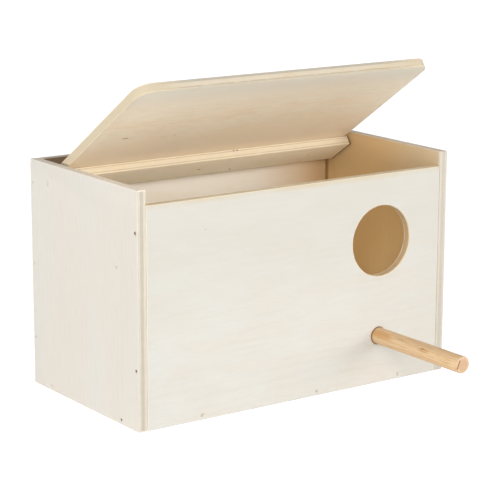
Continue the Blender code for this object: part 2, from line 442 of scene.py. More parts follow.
@dataclass(frozen=True)
class Knot:
    """A knot, or a small dark fleck, on a board's face.

    Attributes:
        along: Place along the grain from the board's middle.
        across: Place across it.
        radius: Radius of the dark heart across the grain.
        stretch: How many times longer than wide it is.
        pull: Radius within which the grain bends round it, as a multiple of the heart's.
        depth: How dark the heart is, from 0 to 1.
        core: Share of its radius where the heart begins to fade.
        fade: The same where it is gone.
    """

    along: float
    across: float
    radius: float
    stretch: float = 1.6
    pull: float = 3.0
    depth: float = 0.8
    core: float = 0.5
    fade: float = 1.25

    def bend(self, along: Signal, across: Signal) -> tuple[Signal, Signal]:
        """Lead the grain round the knot, as water round a post.

        Args:
            along: Place along the grain.
            across: Place across it.

        Returns:
            How far the grain is pushed aside, and the mask of the knot's heart.
        """
        ahead = (along - self.along) / self.stretch
        aside = across - self.across
        far = distance(ahead, aside, WELD)
        reach = self.radius * self.pull
        pushed = aside * (reach * reach / (far * far)).least(1)
        heart = 1 - far.between(self.radius * self.core, self.radius * self.fade)
        return pushed, heart * self.depth


@dataclass(frozen=True)
class Toning:
    """A stretch of a board's face coloured apart from the rest: painted light and shade on most, the
    wood's own tone on a few.

    Attributes:
        colour: Colour that it takes.
        strength: How much of it shows.
        along: Places along the grain where it begins and where it is full.
        across: The same across the grain.
        dapple: How far the broad patches thin it out.
    """

    colour: Colour
    strength: float
    along: tuple[float, float] | None = None
    across: tuple[float, float] | None = None
    dapple: float = 0.0

    def mask(self, along: Signal, across: Signal, patch: Signal) -> Term:
        """Where it shows, and how much.

        Args:
            along: Place along the grain.
            across: Place across it.
            patch: Strength of the broad patches there.

        Returns:
            The share of its colour.
        """
        share: Term = self.strength
        for place, span in ((along, self.along), (across, self.across)):
            if span:
                share = place.between(*span) * share
        if self.dapple:
            share = share * (patch * self.dapple + (1 - self.dapple))
        return share


@dataclass(frozen=True)
class VeneerFace:
    """The face veneer of a plywood board: figure, fibres, pores, knots and tonings.

    Attributes:
        ground: Main colour.
        streak: Colour of the darker growth lines and fibres.
        blush: Colour of the broad warm patches.
        pore: Colour of the short dark pores and the knots.
        spacing: Distance between growth lines.
        wander: How far the growth lines wander, in line distances.
        sharpness: How narrow the dark part of a growth line is.
        slope: How far the grain runs off the board's line, per length.
        figure: How much the growth lines show.
        fibre: How much the fine fibres show.
        patch: How much the broad patches show.
        pores: How much the pores show.
        rim: How much the eased rims take the blush.
        rim_width: Width of the eased rims.
        rim_fray: How far the fibres fray them, as a share of that width.
        toned: Stretches coloured apart from the rest, most of them painted light and shade.
        sway: How the growth lines wander.
        shown: Where the growth lines show.
        fibres: The fine fibres.
        patches: The broad patches.
        dashes: The pores.
        roughness: Roughness between the fibres.
        roughening: What the fibres and the eased rims add to it.
        relief: Depth of the relief.
        heights: Fibres, growth lines, pores and knots, as shares of it.
        gloss: Specular level.
        seed: Moves the pattern, so that no two faces match.
        knots: Knots and flecks.
    """

    ground: Colour
    streak: Colour
    blush: Colour
    pore: Colour = shade(150, 118, 84)
    spacing: float = 4.6 * MM
    wander: float = 5.0
    sharpness: float = 2.0
    slope: float = 0.02
    figure: float = 0.10
    fibre: float = 0.11
    patch: float = 0.50
    pores: float = 0.16
    rim: float = 0.35
    rim_width: float = 1.4 * MM
    rim_fray: float = 0.3
    toned: tuple[Toning, ...] = ()
    sway: Grain = Grain((150 * MM, 42 * MM, 1.0))
    shown: Grain = Grain((70 * MM, 17 * MM, 1.0), (0.42, 0.68), shift=3.0)
    fibres: Grain = Grain((11 * MM, 0.8 * MM, 1.0), (0.36, 0.70), 4.0)
    patches: Grain = Grain((95 * MM, 34 * MM, 1.0), (0.38, 0.66), 3.0, 7.0)
    dashes: Grain = Grain((4.5 * MM, 0.35 * MM, 1.0), (0.70, 0.80), 1.0, 5.0)
    roughness: float = 0.62
    roughening: tuple[float, ...] = (0.12, -0.05)
    relief: float = 0.05 * MM
    heights: tuple[float, ...] = (0.55, 0.25, -0.5, -0.3)
    gloss: float = 0.3
    seed: float = 0.0
    knots: tuple[Knot, ...] = ()

    def dress(self, name: str, lay: Matrix, length: float, width: float) -> bpy.types.Material:
        """Make the material for one face.

        Args:
            name: The material's name.
            lay: The matrix that lays the board in place.
            length: The board's size along the grain.
            width: Its size across the grain.

        Returns:
            The material.
        """
        bench = Bench.start(name)
        along, across, _ = bench.place(lay)
        bent = across - along * self.slope
        heart: Term = 0.0
        for knot in self.knots:
            pushed, dark = knot.bend(along, across)
            bent = bent - pushed
            heart = dark.most(heart)
        place = (along, bent, 0.0)
        swayed = bent / self.spacing + self.sway.waver(bench, place, self.seed) * self.wander
        grains = (self.shown, self.fibres, self.dashes, self.patches)
        shown, fibre, pore, patch = over_all(grains, bench, place, self.seed)
        figure = swayed.wave() ** self.sharpness * shown
        near_rim = (length / 2 - abs(along)).least(width / 2 - abs(across))
        frayed = near_rim + fibre * (self.rim_fray * self.rim_width)
        rim = 1 - frayed.between(0, self.rim_width)
        colour = bench.coat(
            self.ground,
            (patch * self.patch, self.blush),
            (figure * self.figure + fibre * self.fibre, self.streak),
            (pore * self.pores, self.pore),
            (rim * self.rim, self.blush),
            *((toning.mask(along, across, patch), toning.colour) for toning in self.toned),
            (heart, self.pore),
        )
        roughness = weigh((fibre, rim), self.roughening) + self.roughness
        height = weigh((fibre, figure, pore, heart), self.heights)
        return bench.finish(colour, roughness, height, self.relief, self.gloss)


@dataclass(frozen=True)
class Spot:
    """A soft spot, stretched along the third direction of its piece.

    Attributes:
        centre: Its middle, in the piece's own directions.
        radius: Its radius.
        stretch: How many times longer than wide it is.
        strength: How much it shows.
        core: Share of the radius within which it is at its strongest.
    """

    centre: tuple[float, float, float]
    radius: float
    stretch: float = 1.0
    strength: float = 1.0
    core: float = 0.35

    def mask(self, place: Place) -> Signal:
        """The spot's own shape, before its strength.

        Args:
            place: The surface point in the piece's own frame.

        Returns:
            1 in its core, 0 outside it.
        """
        parts = [part - at for part, at in zip(place, self.centre)]
        far = distance(parts[0], parts[1], parts[2] / self.stretch)
        return 1 - far.between(self.radius * self.core, self.radius)


@dataclass(frozen=True)
class SawnEdge:
    """The sawn edge of a three-ply board, and whatever a drill or a router opens in it.

    Attributes:
        skin: Colour of the two face plies.
        core: Colour of the middle ply.
        glue: Colour of the glue lines.
        amber: Colour of the resinous patches in the middle ply.
        speck: Colour of the dark specks.
        shaded_crest: Colour of the painted shade along the rim under the outer face, if it has one.
        shaded_crest_width: Width of that rim.
        end_skin: Colour of the face plies at the board's ends, if it differs there; painted light and
            shade on some boards.
        end_core: Colour of the middle ply there.
        end_show: How much those two show.
        end_reach: Where they begin and where they are full, measured out from the end.
        skin_share: Thickness of a face ply as a share of the board's.
        glue_width: Thickness of a glue line.
        seam_share: How softly the plies meet, as a share of it.
        glue_show: How much the glue lines show.
        core_show: How much the middle ply's end grain shows.
        skin_show: How much the face plies' fibres show.
        amber_show: How much the resinous patches show.
        waver: How the plies waver along the edge.
        waver_depth: How far they waver.
        breaks: Where the glue lines show.
        end_grain: End grain of the middle ply.
        long_grain: Fibres of the face plies.
        ambers: The resinous patches.
        teeth: Marks of the saw's teeth.
        roughness: Roughness of the face plies' edges.
        roughening: What the middle ply's end grain adds to it.
        relief: Depth of the relief.
        heights: Face plies, end grain, saw marks and glue lines, as shares of it.
        gloss: Specular level.
        specks: The dark specks.
        seed: Moves the pattern.
    """

    skin: Colour
    core: Colour
    glue: Colour
    amber: Colour
    speck: Colour = shade(70, 52, 36)
    shaded_crest: Colour | None = None
    shaded_crest_width: float = 0.75 * MM
    end_skin: Colour | None = None
    end_core: Colour | None = None
    end_show: float = 0.85
    end_reach: tuple[float, float] = (-0.9 * MM, -0.4 * MM)
    skin_share: float = 0.20
    glue_width: float = 0.22 * MM
    seam_share: float = 0.25
    glue_show: float = 0.70
    core_show: float = 0.30
    skin_show: float = 0.16
    amber_show: float = 0.55
    waver: Grain = Grain((11 * MM, 11 * MM, 1.0))
    waver_depth: float = 0.35 * MM
    breaks: Grain = Grain((4 * MM, 4 * MM, 1.0), (0.30, 0.52))
    end_grain: Grain = Grain((0.7 * MM, 14 * MM, 0.7 * MM), (0.36, 0.68), 3.0)
    long_grain: Grain = Grain((16 * MM, 0.7 * MM, 0.7 * MM), (0.36, 0.68), 3.0, 2.0)
    ambers: Grain = Grain((15 * MM, 15 * MM, 4 * MM), (0.57, 0.68), 2.0, 4.0)
    teeth: Grain = Grain((1.2 * MM, 1.2 * MM, 1.0), detail=1.0, shift=6.0)
    roughness: float = 0.78
    roughening: float = 0.10
    relief: float = 0.08 * MM
    heights: tuple[float, ...] = (0.3, 0.4, 0.5, -0.5)
    gloss: float = 0.2
    specks: tuple[Spot, ...] = ()
    seed: float = 0.0

    def glue_level(self, thickness: float) -> float:
        """How far above and below the board's middle its glue lines lie."""
        return thickness / 2 - thickness * self.skin_share

    def dress(
        self, name: str, lay: Matrix, length: float, thickness: float
    ) -> bpy.types.Material:
        """Make the material for one board's edges.

        Args:
            name: The material's name.
            lay: The matrix that lays the board in place.
            length: The board's size along the grain.
            thickness: The board's thickness.

        Returns:
            The material.
        """
        bench = Bench.start(name)
        place = bench.place(lay)
        along, across, through = place
        flat = (along, across, 0.0)
        wobble = self.waver.waver(bench, flat, self.seed) * self.waver_depth
        level = abs(through + wobble)
        core_half = self.glue_level(thickness)
        seam = self.glue_width * self.seam_share
        skin = level.between(core_half - seam, core_half + seam)
        glue = 1 - abs(level - core_half).between(seam, self.glue_width)
        glue = glue * self.breaks.over(bench, flat, self.seed)
        grains = (self.end_grain, self.long_grain, self.ambers)
        end_grain, long_grain, amber = over_all(grains, bench, place, self.seed)
        core = bench.coat(
            self.core, (end_grain * self.core_show, self.glue), (amber * self.amber_show, self.amber)
        )
        face = bench.coat(self.skin, (long_grain * self.skin_show, self.glue))
        coats = [(skin, face), (glue * self.glue_show, self.glue)]
        # Painted shade along the rim under the outer face.
        if self.shaded_crest:
            top = thickness / 2
            rim = through.between(top - self.shaded_crest_width, top - self.shaded_crest_width / 2)
            coats.append((rim, self.shaded_crest))
        if self.end_skin and self.end_core:
            at_end = (abs(along) - length / 2).between(*self.end_reach)
            end = bench.coat(self.end_core, (skin, self.end_skin))
            coats.append((at_end * self.end_show, end))
        coats += [(speck.mask(place) * speck.strength, self.speck) for speck in self.specks]
        teeth = self.teeth.waver(bench, flat, self.seed)
        roughness = end_grain * self.roughening + self.roughness
        height = weigh((skin, end_grain * (1 - skin), teeth, glue), self.heights)
        return bench.finish(bench.coat(core, *coats), roughness, height, self.relief, self.gloss)


@dataclass(frozen=True)
class RimShade:
    """A straight dark line near the edge of the perch's flat end: painted shade along its rounded rim.

    Attributes:
        lean: How far it leans to the right of upright.
        aside: How far it passes to the left of the axis.
        middle: Its middle along itself, above the point nearest to the axis.
        reach: How far it runs to both sides of its middle.
        width: Its half width.
        depth: How far in from the end it shows.
        strength: How dark it is.
        core: Share of its half width that is at full strength.
        taper: Share of its reach and of its depth where it begins to fade.
    """

    lean: float = math.radians(21)
    aside: float = 3.10 * MM
    middle: float = -0.6 * MM
    reach: float = 2.9 * MM
    width: float = 0.58 * MM
    depth: float = 0.9 * MM
    strength: float = 0.85
    core: float = 0.3
    taper: float = 0.8

    def mask(self, right: Signal, up: Signal, inward: Signal) -> Signal:
        """Where the line shows, and how much.

        Args:
            right: Place to the right of the axis.
            up: Place above it.
            inward: How far in from the end.

        Returns:
            The share of its colour.
        """
        cosine, sine = math.cos(self.lean), math.sin(self.lean)
        beside = right * cosine - up * sine + self.aside
        along = right * sine + up * cosine - self.middle
        line = 1 - abs(beside).between(self.width * self.core, self.width)
        near = 1 - abs(along).between(self.reach * self.taper, self.reach)
        shallow = 1 - inward.between(self.depth * self.taper, self.depth)
        return line * near * shallow * self.strength


@dataclass(frozen=True)
class DowelWood:
    """Turned softwood rod: long growth streaks, an amber patch, a knot and its end grain.

    Attributes:
        ground: Main colour.
        streak: Colour of the late wood.
        tint: Colour of the short dashes.
        amber: Colour of the resinous patch.
        end: Colour of the sawn end.
        blush: Redder colour of that end's middle.
        dark: Colour of the knot and of the painted shade at the end's rim and the base.
        pith: Place of the tree's middle, to the right of and above the rod's axis.
        spacing: Distance between growth rings.
        wander: How far the rings wander, in ring distances.
        sharpness: How narrow the late wood of a ring is.
        late: How much the late wood shows.
        fibre: How much the fibres show.
        dash: How much the short dark dashes show.
        sway: How the rings wander.
        fibres: The fibres.
        dashes: The short dark dashes.
        ragged: How the resinous patch's outline frays.
        fray: How far it frays.
        resin: The resinous patch.
        resin_rise: Strengths where its colour begins and where it is full.
        knot: The knot.
        halo: The darker wood round the knot.
        halo_fibre: How much of it follows the fibres.
        rim_shade: The painted shade along the rim of the sawn end.
        sawn: Where the end grain's colour begins and is full, measured out from the end.
        heart: Radii where the redder middle of the end begins to fade and is gone.
        flush: How much that redder colour shows.
        shadow_collar: Where the painted shadow at the base begins to fade and is gone, out from the
            front.
        shadow_depth: How dark that painted shadow is.
        roughness: Roughness between the fibres.
        roughening: What the fibres and the sawn end add to it.
        relief: Depth of the relief.
        heights: Fibres, late wood, dashes and knot, as shares of it.
        gloss: Specular level.
    """

    ground: Colour = shade(228, 198, 157)
    streak: Colour = shade(206, 162, 114)
    tint: Colour = shade(190, 140, 92)
    amber: Colour = shade(207, 148, 80)
    end: Colour = shade(228, 203, 174)
    blush: Colour = shade(208, 173, 142)
    dark: Colour = shade(132, 88, 50)
    pith: tuple[float, float] = (-26 * MM, 4 * MM)
    spacing: float = 1.15 * MM
    wander: float = 1.6
    sharpness: float = 2.0
    late: float = 0.38
    fibre: float = 0.40
    dash: float = 0.50
    sway: Grain = Grain((12 * MM, 12 * MM, 45 * MM))
    fibres: Grain = Grain((0.45 * MM, 0.45 * MM, 20 * MM), (0.36, 0.66), 3.0)
    dashes: Grain = Grain((0.5 * MM, 0.5 * MM, 10 * MM), (0.56, 0.70), 1.0, 3.0)
    ragged: Grain = Grain((0.9 * MM, 0.9 * MM, 15 * MM), detail=3.0)
    fray: float = 0.8
    resin: Spot = Spot((-4.0 * MM, 2.7 * MM, 6.5 * MM), 3.9 * MM, 4.4, 0.62, 0.05)
    resin_rise: tuple[float, float] = (0.15, 0.75)
    knot: Spot = Spot((-3.9 * MM, 2.8 * MM, 43.5 * MM), 0.70 * MM, 1.8, 0.65)
    halo: Spot = Spot((-4.3 * MM, 2.1 * MM, 44.5 * MM), 1.7 * MM, 3.6, 1.0)
    halo_fibre: float = 0.6
    rim_shade: RimShade = RimShade()
    sawn: tuple[float, float] = (-0.35 * MM, -0.105 * MM)
    heart: tuple[float, float] = (2.58 * MM, 4.3 * MM)
    flush: float = 0.8
    shadow_collar: tuple[float, float] = (0.27 * MM, 0.9 * MM)
    shadow_depth: float = 0.55
    roughness: float = 0.56
    roughening: tuple[float, ...] = (0.12, 0.15)
    relief: float = 0.06 * MM
    heights: tuple[float, ...] = (0.5, 0.35, -0.4, -0.4)
    gloss: float = 0.35

    def dress(self, name: str, lay: Matrix, reach: float) -> bpy.types.Material:
        """Make the rod's material.

        Args:
            name: The material's name.
            lay: The matrix that lays the rod in place, its axis through the origin.
            reach: Place of the sawn outer end along the rod.

        Returns:
            The material.
        """
        bench = Bench.start(name)
        place = bench.place(lay)
        right, up, out = place
        turns = distance(right - self.pith[0], up - self.pith[1]) / self.spacing
        turns = turns + self.sway.waver(bench, place) * self.wander
        late = turns.wave() ** self.sharpness
        fibre, dash = over_all((self.fibres, self.dashes), bench, place)
        frayed = self.resin.mask(place) + self.ragged.waver(bench, place) * self.fray
        halo = self.halo.mask(place) * (fibre * self.halo_fibre + (1 - self.halo_fibre))
        knot = self.knot.mask(place)
        sawn = (out - reach).between(*self.sawn)
        inner = 1 - distance(right, up).between(*self.heart)
        grain = late * self.late + fibre * self.fibre
        end = bench.coat(self.end, (inner * self.flush, self.blush), (grain, self.streak))
        colour = bench.coat(
            self.ground,
            (grain, self.streak),
            (frayed.between(*self.resin_rise) * self.resin.strength, self.amber),
            (halo * self.halo.strength, self.tint),
            (dash * self.dash, self.tint),
            (sawn, end),
            (knot * self.knot.strength, self.dark),
            # Painted shade along the inner edge of the end's rounded rim.
            (self.rim_shade.mask(right, up, reach - out), self.dark),
            # Painted shadow round the base, where the rod goes into the front.
            ((1 - out.between(*self.shadow_collar)) * self.shadow_depth, self.dark),
        )
        roughness = weigh((fibre, sawn), self.roughening) + self.roughness
        height = weigh((fibre, late, dash, knot), self.heights)
        return bench.finish(colour, roughness, height, self.relief, self.gloss)


@dataclass(frozen=True)
class NailSteel:
    """Wire-nail steel with a hammered head, dull, rusty or filled over.

    Attributes:
        steel: Main colour.
        rust: Colour of the stains.
        stain: How much the stains show.
        roughness: Roughness between the stains.
        roughening: What the stains add to it.
        dents: The hammer marks.
        stains: The stains.
        relief: Depth of the hammer marks.
        gloss: Specular level.
        metal: 1 for bare metal, 0 for a head that is filled over.
    """

    steel: Colour = shade(118, 112, 104)
    rust: Colour = shade(104, 74, 52)
    stain: float = 0.7
    roughness: float = 0.42
    roughening: float = 0.3
    dents: Grain = Grain((0.5 * MM, 0.5 * MM, 0.5 * MM), detail=3.0)
    stains: Grain = Grain((1.1 * MM, 1.1 * MM, 3.3 * MM), (0.48, 0.66), shift=5.0)
    relief: float = 0.03 * MM
    gloss: float = 0.5
    metal: float = 1.0

    def dress(self, name: str, lay: Matrix) -> bpy.types.Material:
        """Make the material.

        Args:
            name: The material's name.
            lay: The matrix that lays the nail in place.

        Returns:
            The material.
        """
        bench = Bench.start(name)
        place = bench.place(lay)
        stain = self.stains.over(bench, place)
        colour = bench.coat(self.steel, (stain * self.stain, self.rust))
        roughness = stain * self.roughening + self.roughness
        dents = self.dents.waver(bench, place)
        return bench.finish(colour, roughness, dents, self.relief, self.gloss, self.metal)


# Hand tools


def lay_down(thing: bpy.types.Object) -> None:
    """Pick one object and nothing else.

    Args:
        thing: The object.
    """
    bpy.ops.object.select_all(action="DESELECT")
    thing.select_set(True)
    bpy.context.view_layer.objects.active = thing


@contextmanager
def shaping(thing: bpy.types.Object) -> Iterator[None]:
    """Edit mode on one object, with nothing picked at the start.

    Args:
        thing: The object.

    Yields:
        Nothing, while the object is in edit mode.
    """
    lay_down(thing)
    bpy.ops.object.mode_set(mode="EDIT")
    bpy.ops.mesh.select_all(action="DESELECT")
    yield
    bpy.ops.object.mode_set(mode="OBJECT")


def label(thing: bpy.types.Object, name: str) -> None:
    """Give an object and its mesh one name."""
    thing.name = name
    thing.data.name = name


def pick_edges(thing: bpy.types.Object, test: Callable[[Vector, Vector], bool]) -> None:
    """Select edges by where they run.

    Args:
        thing: The object in edit mode.
        test: Says of an edge's two ends whether it is wanted.
    """
    bpy.ops.mesh.select_mode(type="EDGE")
    form = bmesh.from_edit_mesh(thing.data)
    for edge in form.edges:
        edge.select_set(test(edge.verts[0].co, edge.verts[1].co))
    bmesh.update_edit_mesh(thing.data)


def pick_points(thing: bpy.types.Object, test: Callable[[Vector], bool]) -> None:
    """Select vertices by place.

    Args:
        thing: The object in edit mode.
        test: Says of a vertex's place whether it is wanted.
    """
    bpy.ops.mesh.select_mode(type="VERT")
    form = bmesh.from_edit_mesh(thing.data)
    for point in form.verts:
        point.select_set(test(point.co))
    form.select_flush_mode()
    bmesh.update_edit_mesh(thing.data)


def turn(name: str, profile: Profile, facets: int) -> bpy.types.Object:
    """Turn a profile about Z, drawn point by point and spun.

    Args:
        name: The object's name.
        profile: Points as radius and height, from one end on the axis to the other.
        facets: Steps of the turn.

    Returns:
        The closed round object.
    """
    start = Vector((profile[0][0], 0, profile[0][1]))
    bpy.ops.mesh.primitive_plane_add(size=MM, location=(0, 0, 0))
    thing = bpy.context.object
    label(thing, name)
    with shaping(thing):
        bpy.ops.mesh.select_all(action="SELECT")
        bpy.ops.mesh.merge(type="CENTER")
        bpy.ops.transform.translate(value=start)
        last = start
        for radius, height in profile[1:]:
            step = Vector((radius, 0, height)) - last
            last = last + step
            bpy.ops.mesh.extrude_vertices_move(TRANSFORM_OT_translate={"value": step})
        bpy.ops.mesh.select_all(action="SELECT")
        bpy.ops.mesh.spin(steps=facets, angle=FULL_TURN, center=(0, 0, 0), axis=(0, 0, 1))
        bpy.ops.mesh.select_all(action="SELECT")
        bpy.ops.mesh.remove_doubles(threshold=WELD)
        bpy.ops.mesh.normals_make_consistent(inside=False)
    return thing


def settle(thing: bpy.types.Object, lay: Matrix) -> None:
    """Put a modelled piece in its place, in its mesh.

    Args:
        thing: The piece.
        lay: The matrix that lays it in place.
    """
    lay_down(thing)
    thing.matrix_world = lay
    bpy.ops.object.transform_apply(location=True, rotation=True, scale=True)


def cut_out(thing: bpy.types.Object, cutter: bpy.types.Object) -> None:
    """Take a cutter's shape out of a piece and put the cutter away.

    Args:
        thing: The piece.
        cutter: The cutter, laid in place.
    """
    lay_down(thing)
    bpy.ops.object.modifier_add(type="BOOLEAN")
    modifier = thing.modifiers[-1]
    modifier.operation = "DIFFERENCE"
    modifier.solver = "EXACT"
    modifier.object = cutter
    bpy.ops.object.modifier_apply(modifier=modifier.name)
    bpy.data.objects.remove(cutter, do_unlink=True)


def stand_in(thing: bpy.types.Object, lay: Matrix, node: str, body: str) -> None:
    """Lay a modelled piece in its place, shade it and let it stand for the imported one.

    Args:
        thing: The modelled piece.
        lay: The matrix that lays it in place.
        node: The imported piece.
        body: The body that it rides on.
    """
    settle(thing, lay)
    bpy.ops.object.shade_smooth_by_angle(angle=SMOOTH_ANGLE)
    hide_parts(node)
    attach(thing, body)
    LOG.info("%s: %d faces", thing.name, len(thing.data.polygons))


# Places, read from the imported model


class Way(Enum):
    """Which way a piece lies: its own three directions, as directions of the nest box.

    A board's are along its grain, across it, and out of its outer face. A nail's or the
    perch's third is the way that its outer end looks.
    """

    LEFT = ((0, 0, 1), (0, 1, 0), (-1, 0, 0))
    RIGHT = ((0, 0, 1), (0, -1, 0), (1, 0, 0))
    FRONT = ((1, 0, 0), (0, 0, 1), (0, -1, 0))
    BACK = ((1, 0, 0), (0, 0, -1), (0, 1, 0))
    UNDER = ((1, 0, 0), (0, -1, 0), (0, 0, -1))
    UPPER = ((1, 0, 0), (0, 1, 0), (0, 0, 1))

    def turned(self) -> Matrix:
        """The turn that lays a piece this way."""
        return Matrix([Vector(axis) for axis in self.value]).transposed().to_4x4()


@dataclass(frozen=True)
class Berth:
    """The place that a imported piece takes, in the piece's own directions.

    Attributes:
        turned: Its directions in the nest box.
        low: Lowest corner.
        high: Highest corner.
    """

    turned: Matrix
    low: Vector
    high: Vector

    @classmethod
    def of(cls, node: bpy.types.Object, turned: Matrix) -> "Berth":
        """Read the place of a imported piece.

        Args:
            node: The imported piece.
            turned: Its directions in the nest box.

        Returns:
            Its place.
        """
        back = turned.inverted()
        points = [back @ vertex.co for vertex in node.data.vertices]
        low = Vector([min(point[axis] for point in points) for axis in range(3)])
        high = Vector([max(point[axis] for point in points) for axis in range(3)])
        return cls(turned, low, high)

    @property
    def size(self) -> Vector:
        """Sizes along the piece's three directions."""
        return self.high - self.low

    @property
    def centre(self) -> Vector:
        """The middle, in the piece's own directions."""
        return (self.low + self.high) / 2

    def middle(self) -> Matrix:
        """Lay a piece modelled about its middle."""
        return self.turned @ Matrix.Translation(self.centre)

    def outer_end(self) -> Matrix:
        """Lay a piece modelled downwards from its outer end, on its axis."""
        return self.turned @ Matrix.Translation((*self.centre.xy, self.high.z))


# Pieces


class Side(IntEnum):
    """The sides of a board that have a finish each, in the order of its materials."""

    OUTER = 0
    INNER = 1
    EDGE = 2
    BORE = 3


@dataclass(frozen=True)
class Rounding:
    """A rounded corner of a board: its side along and across, its radius and its facets."""

    along: int
    across: int
    radius: float
    segments: int = 12


@dataclass
class Board:
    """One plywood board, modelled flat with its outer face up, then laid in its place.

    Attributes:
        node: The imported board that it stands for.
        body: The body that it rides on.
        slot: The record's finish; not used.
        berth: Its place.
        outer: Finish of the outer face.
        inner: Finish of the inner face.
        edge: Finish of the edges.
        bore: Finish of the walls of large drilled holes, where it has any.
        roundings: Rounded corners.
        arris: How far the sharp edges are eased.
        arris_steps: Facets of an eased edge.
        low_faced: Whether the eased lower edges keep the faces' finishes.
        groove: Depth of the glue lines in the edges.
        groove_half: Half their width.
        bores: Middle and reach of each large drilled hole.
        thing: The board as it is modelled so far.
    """

    node: str
    body: str
    slot: str
    berth: Berth
    outer: VeneerFace
    inner: VeneerFace
    edge: SawnEdge
    bore: SawnEdge | None = None
    roundings: tuple[Rounding, ...] = ()
    arris: float = 0.25 * MM
    arris_steps: int = 3
    low_faced: bool = False
    groove: float = 0.10 * MM
    groove_half: float = 0.12 * MM
    bores: list[tuple[Vector, float]] = field(default_factory=list, init=False)
    thing: bpy.types.Object | None = field(default=None, init=False)

    def saw(self) -> None:
        """Saw the board to size, round its corners, ease its arrises and open its glue lines."""
        length, width, thickness = self.berth.size
        bpy.ops.mesh.primitive_cube_add(size=1, location=(0, 0, 0))
        thing = bpy.context.object
        label(thing, self.node + "_plywood")
        with shaping(thing):
            bpy.ops.mesh.select_all(action="SELECT")
            bpy.ops.transform.resize(value=(length, width, thickness))
            for rounding in self.roundings:
                self._round_corner(thing, rounding)
            bpy.ops.mesh.select_mode(type="EDGE")
            bpy.ops.mesh.select_all(action="DESELECT")
            bpy.ops.mesh.edges_select_sharp(sharpness=ARRIS_ANGLE)
            bpy.ops.mesh.bevel(offset=self.arris, segments=self.arris_steps, affect="EDGES")
            for level in self.glue_levels():
                self._open_glue_line(thing, level)
        self.thing = thing

    def _round_corner(self, thing: bpy.types.Object, rounding: Rounding) -> None:
        """Round one of the four upright corner edges.

        Args:
            thing: The board in edit mode.
            rounding: Which corner, and how far.
        """
        size = self.berth.size
        corner = Vector((rounding.along * size.x, rounding.across * size.y)) / 2

        def at_corner(one: Vector, other: Vector) -> bool:
            """Both ends of the edge stand on the corner."""
            return all((end.xy - corner).length < NEAR for end in (one, other))

        pick_edges(thing, at_corner)
        bpy.ops.mesh.bevel(offset=rounding.radius, segments=rounding.segments, affect="EDGES")

    def glue_levels(self) -> tuple[float, float]:
        """Heights of the two glue lines."""
        level = self.edge.glue_level(self.berth.size.z)
        return level, -level

    def _open_glue_line(self, thing: bpy.types.Object, level: float) -> None:
        """Cut a fine groove round the edges at one glue line.

        Args:
            thing: The board in edit mode.
            level: Height of the glue line.
        """
        for height in (level - self.groove_half, level, level + self.groove_half):
            bpy.ops.mesh.select_all(action="SELECT")
            bpy.ops.mesh.bisect(plane_co=(0, 0, height), plane_no=(0, 0, 1))
        pick_points(thing, lambda place: abs(place.z - level) < NEAR)
        size = self.berth.size
        bpy.ops.transform.resize(
            value=(1 - 2 * self.groove / size.x, 1 - 2 * self.groove / size.y, 1),
            center_override=(0, 0, level),
        )

    def drill(self, cutter: bpy.types.Object, lay: Matrix, reach: float = 0.0) -> None:
        """Take out a hole.

        Args:
            cutter: The hole's shape, modelled about Z.
            lay: The hole's place in the nest box.
            reach: How far from its middle its walls take the bore's finish, if they do.
        """
        inside = self.berth.middle().inverted() @ lay
        settle(cutter, inside)
        cut_out(self.thing, cutter)
        if reach:
            self.bores.append((inside.to_translation().xy, reach))

    def _side_of(self, place: Vector) -> Side:
        """Say which side a face belongs to.

        Args:
            place: The face's middle, on the flat board.

        Returns:
            The side.
        """
        size = self.berth.size
        low = self.low_faced and place.y < self.arris - size.y / 2
        if abs(place.z) > size.z / 2 - (self.arris if low else NEAR):
            return Side.OUTER if place.z > 0 else Side.INNER
        bored = any((place.xy - middle).length < reach for middle, reach in self.bores)
        return Side.BORE if bored else Side.EDGE

    def complete(self) -> None:
        """Give the faces their finishes, lay the board in its place and let it ride."""
        thing = self.thing
        length, width, thickness = self.berth.size
        lay = self.berth.middle()
        finishes = {
            Side.OUTER: (self.outer, width),
            Side.INNER: (self.inner, width),
            Side.EDGE: (self.edge, thickness),
            Side.BORE: (self.bore, thickness),
        }
        thing.data.materials.clear()
        for side, (finish, across) in finishes.items():
            if finish:
                made = finish.dress(f"{thing.name}_{side.name.lower()}", lay, length, across)
                thing.data.materials.append(made)
        for face in thing.data.polygons:
            face.material_index = self._side_of(face.center)
        stand_in(thing, lay, self.node, self.body)


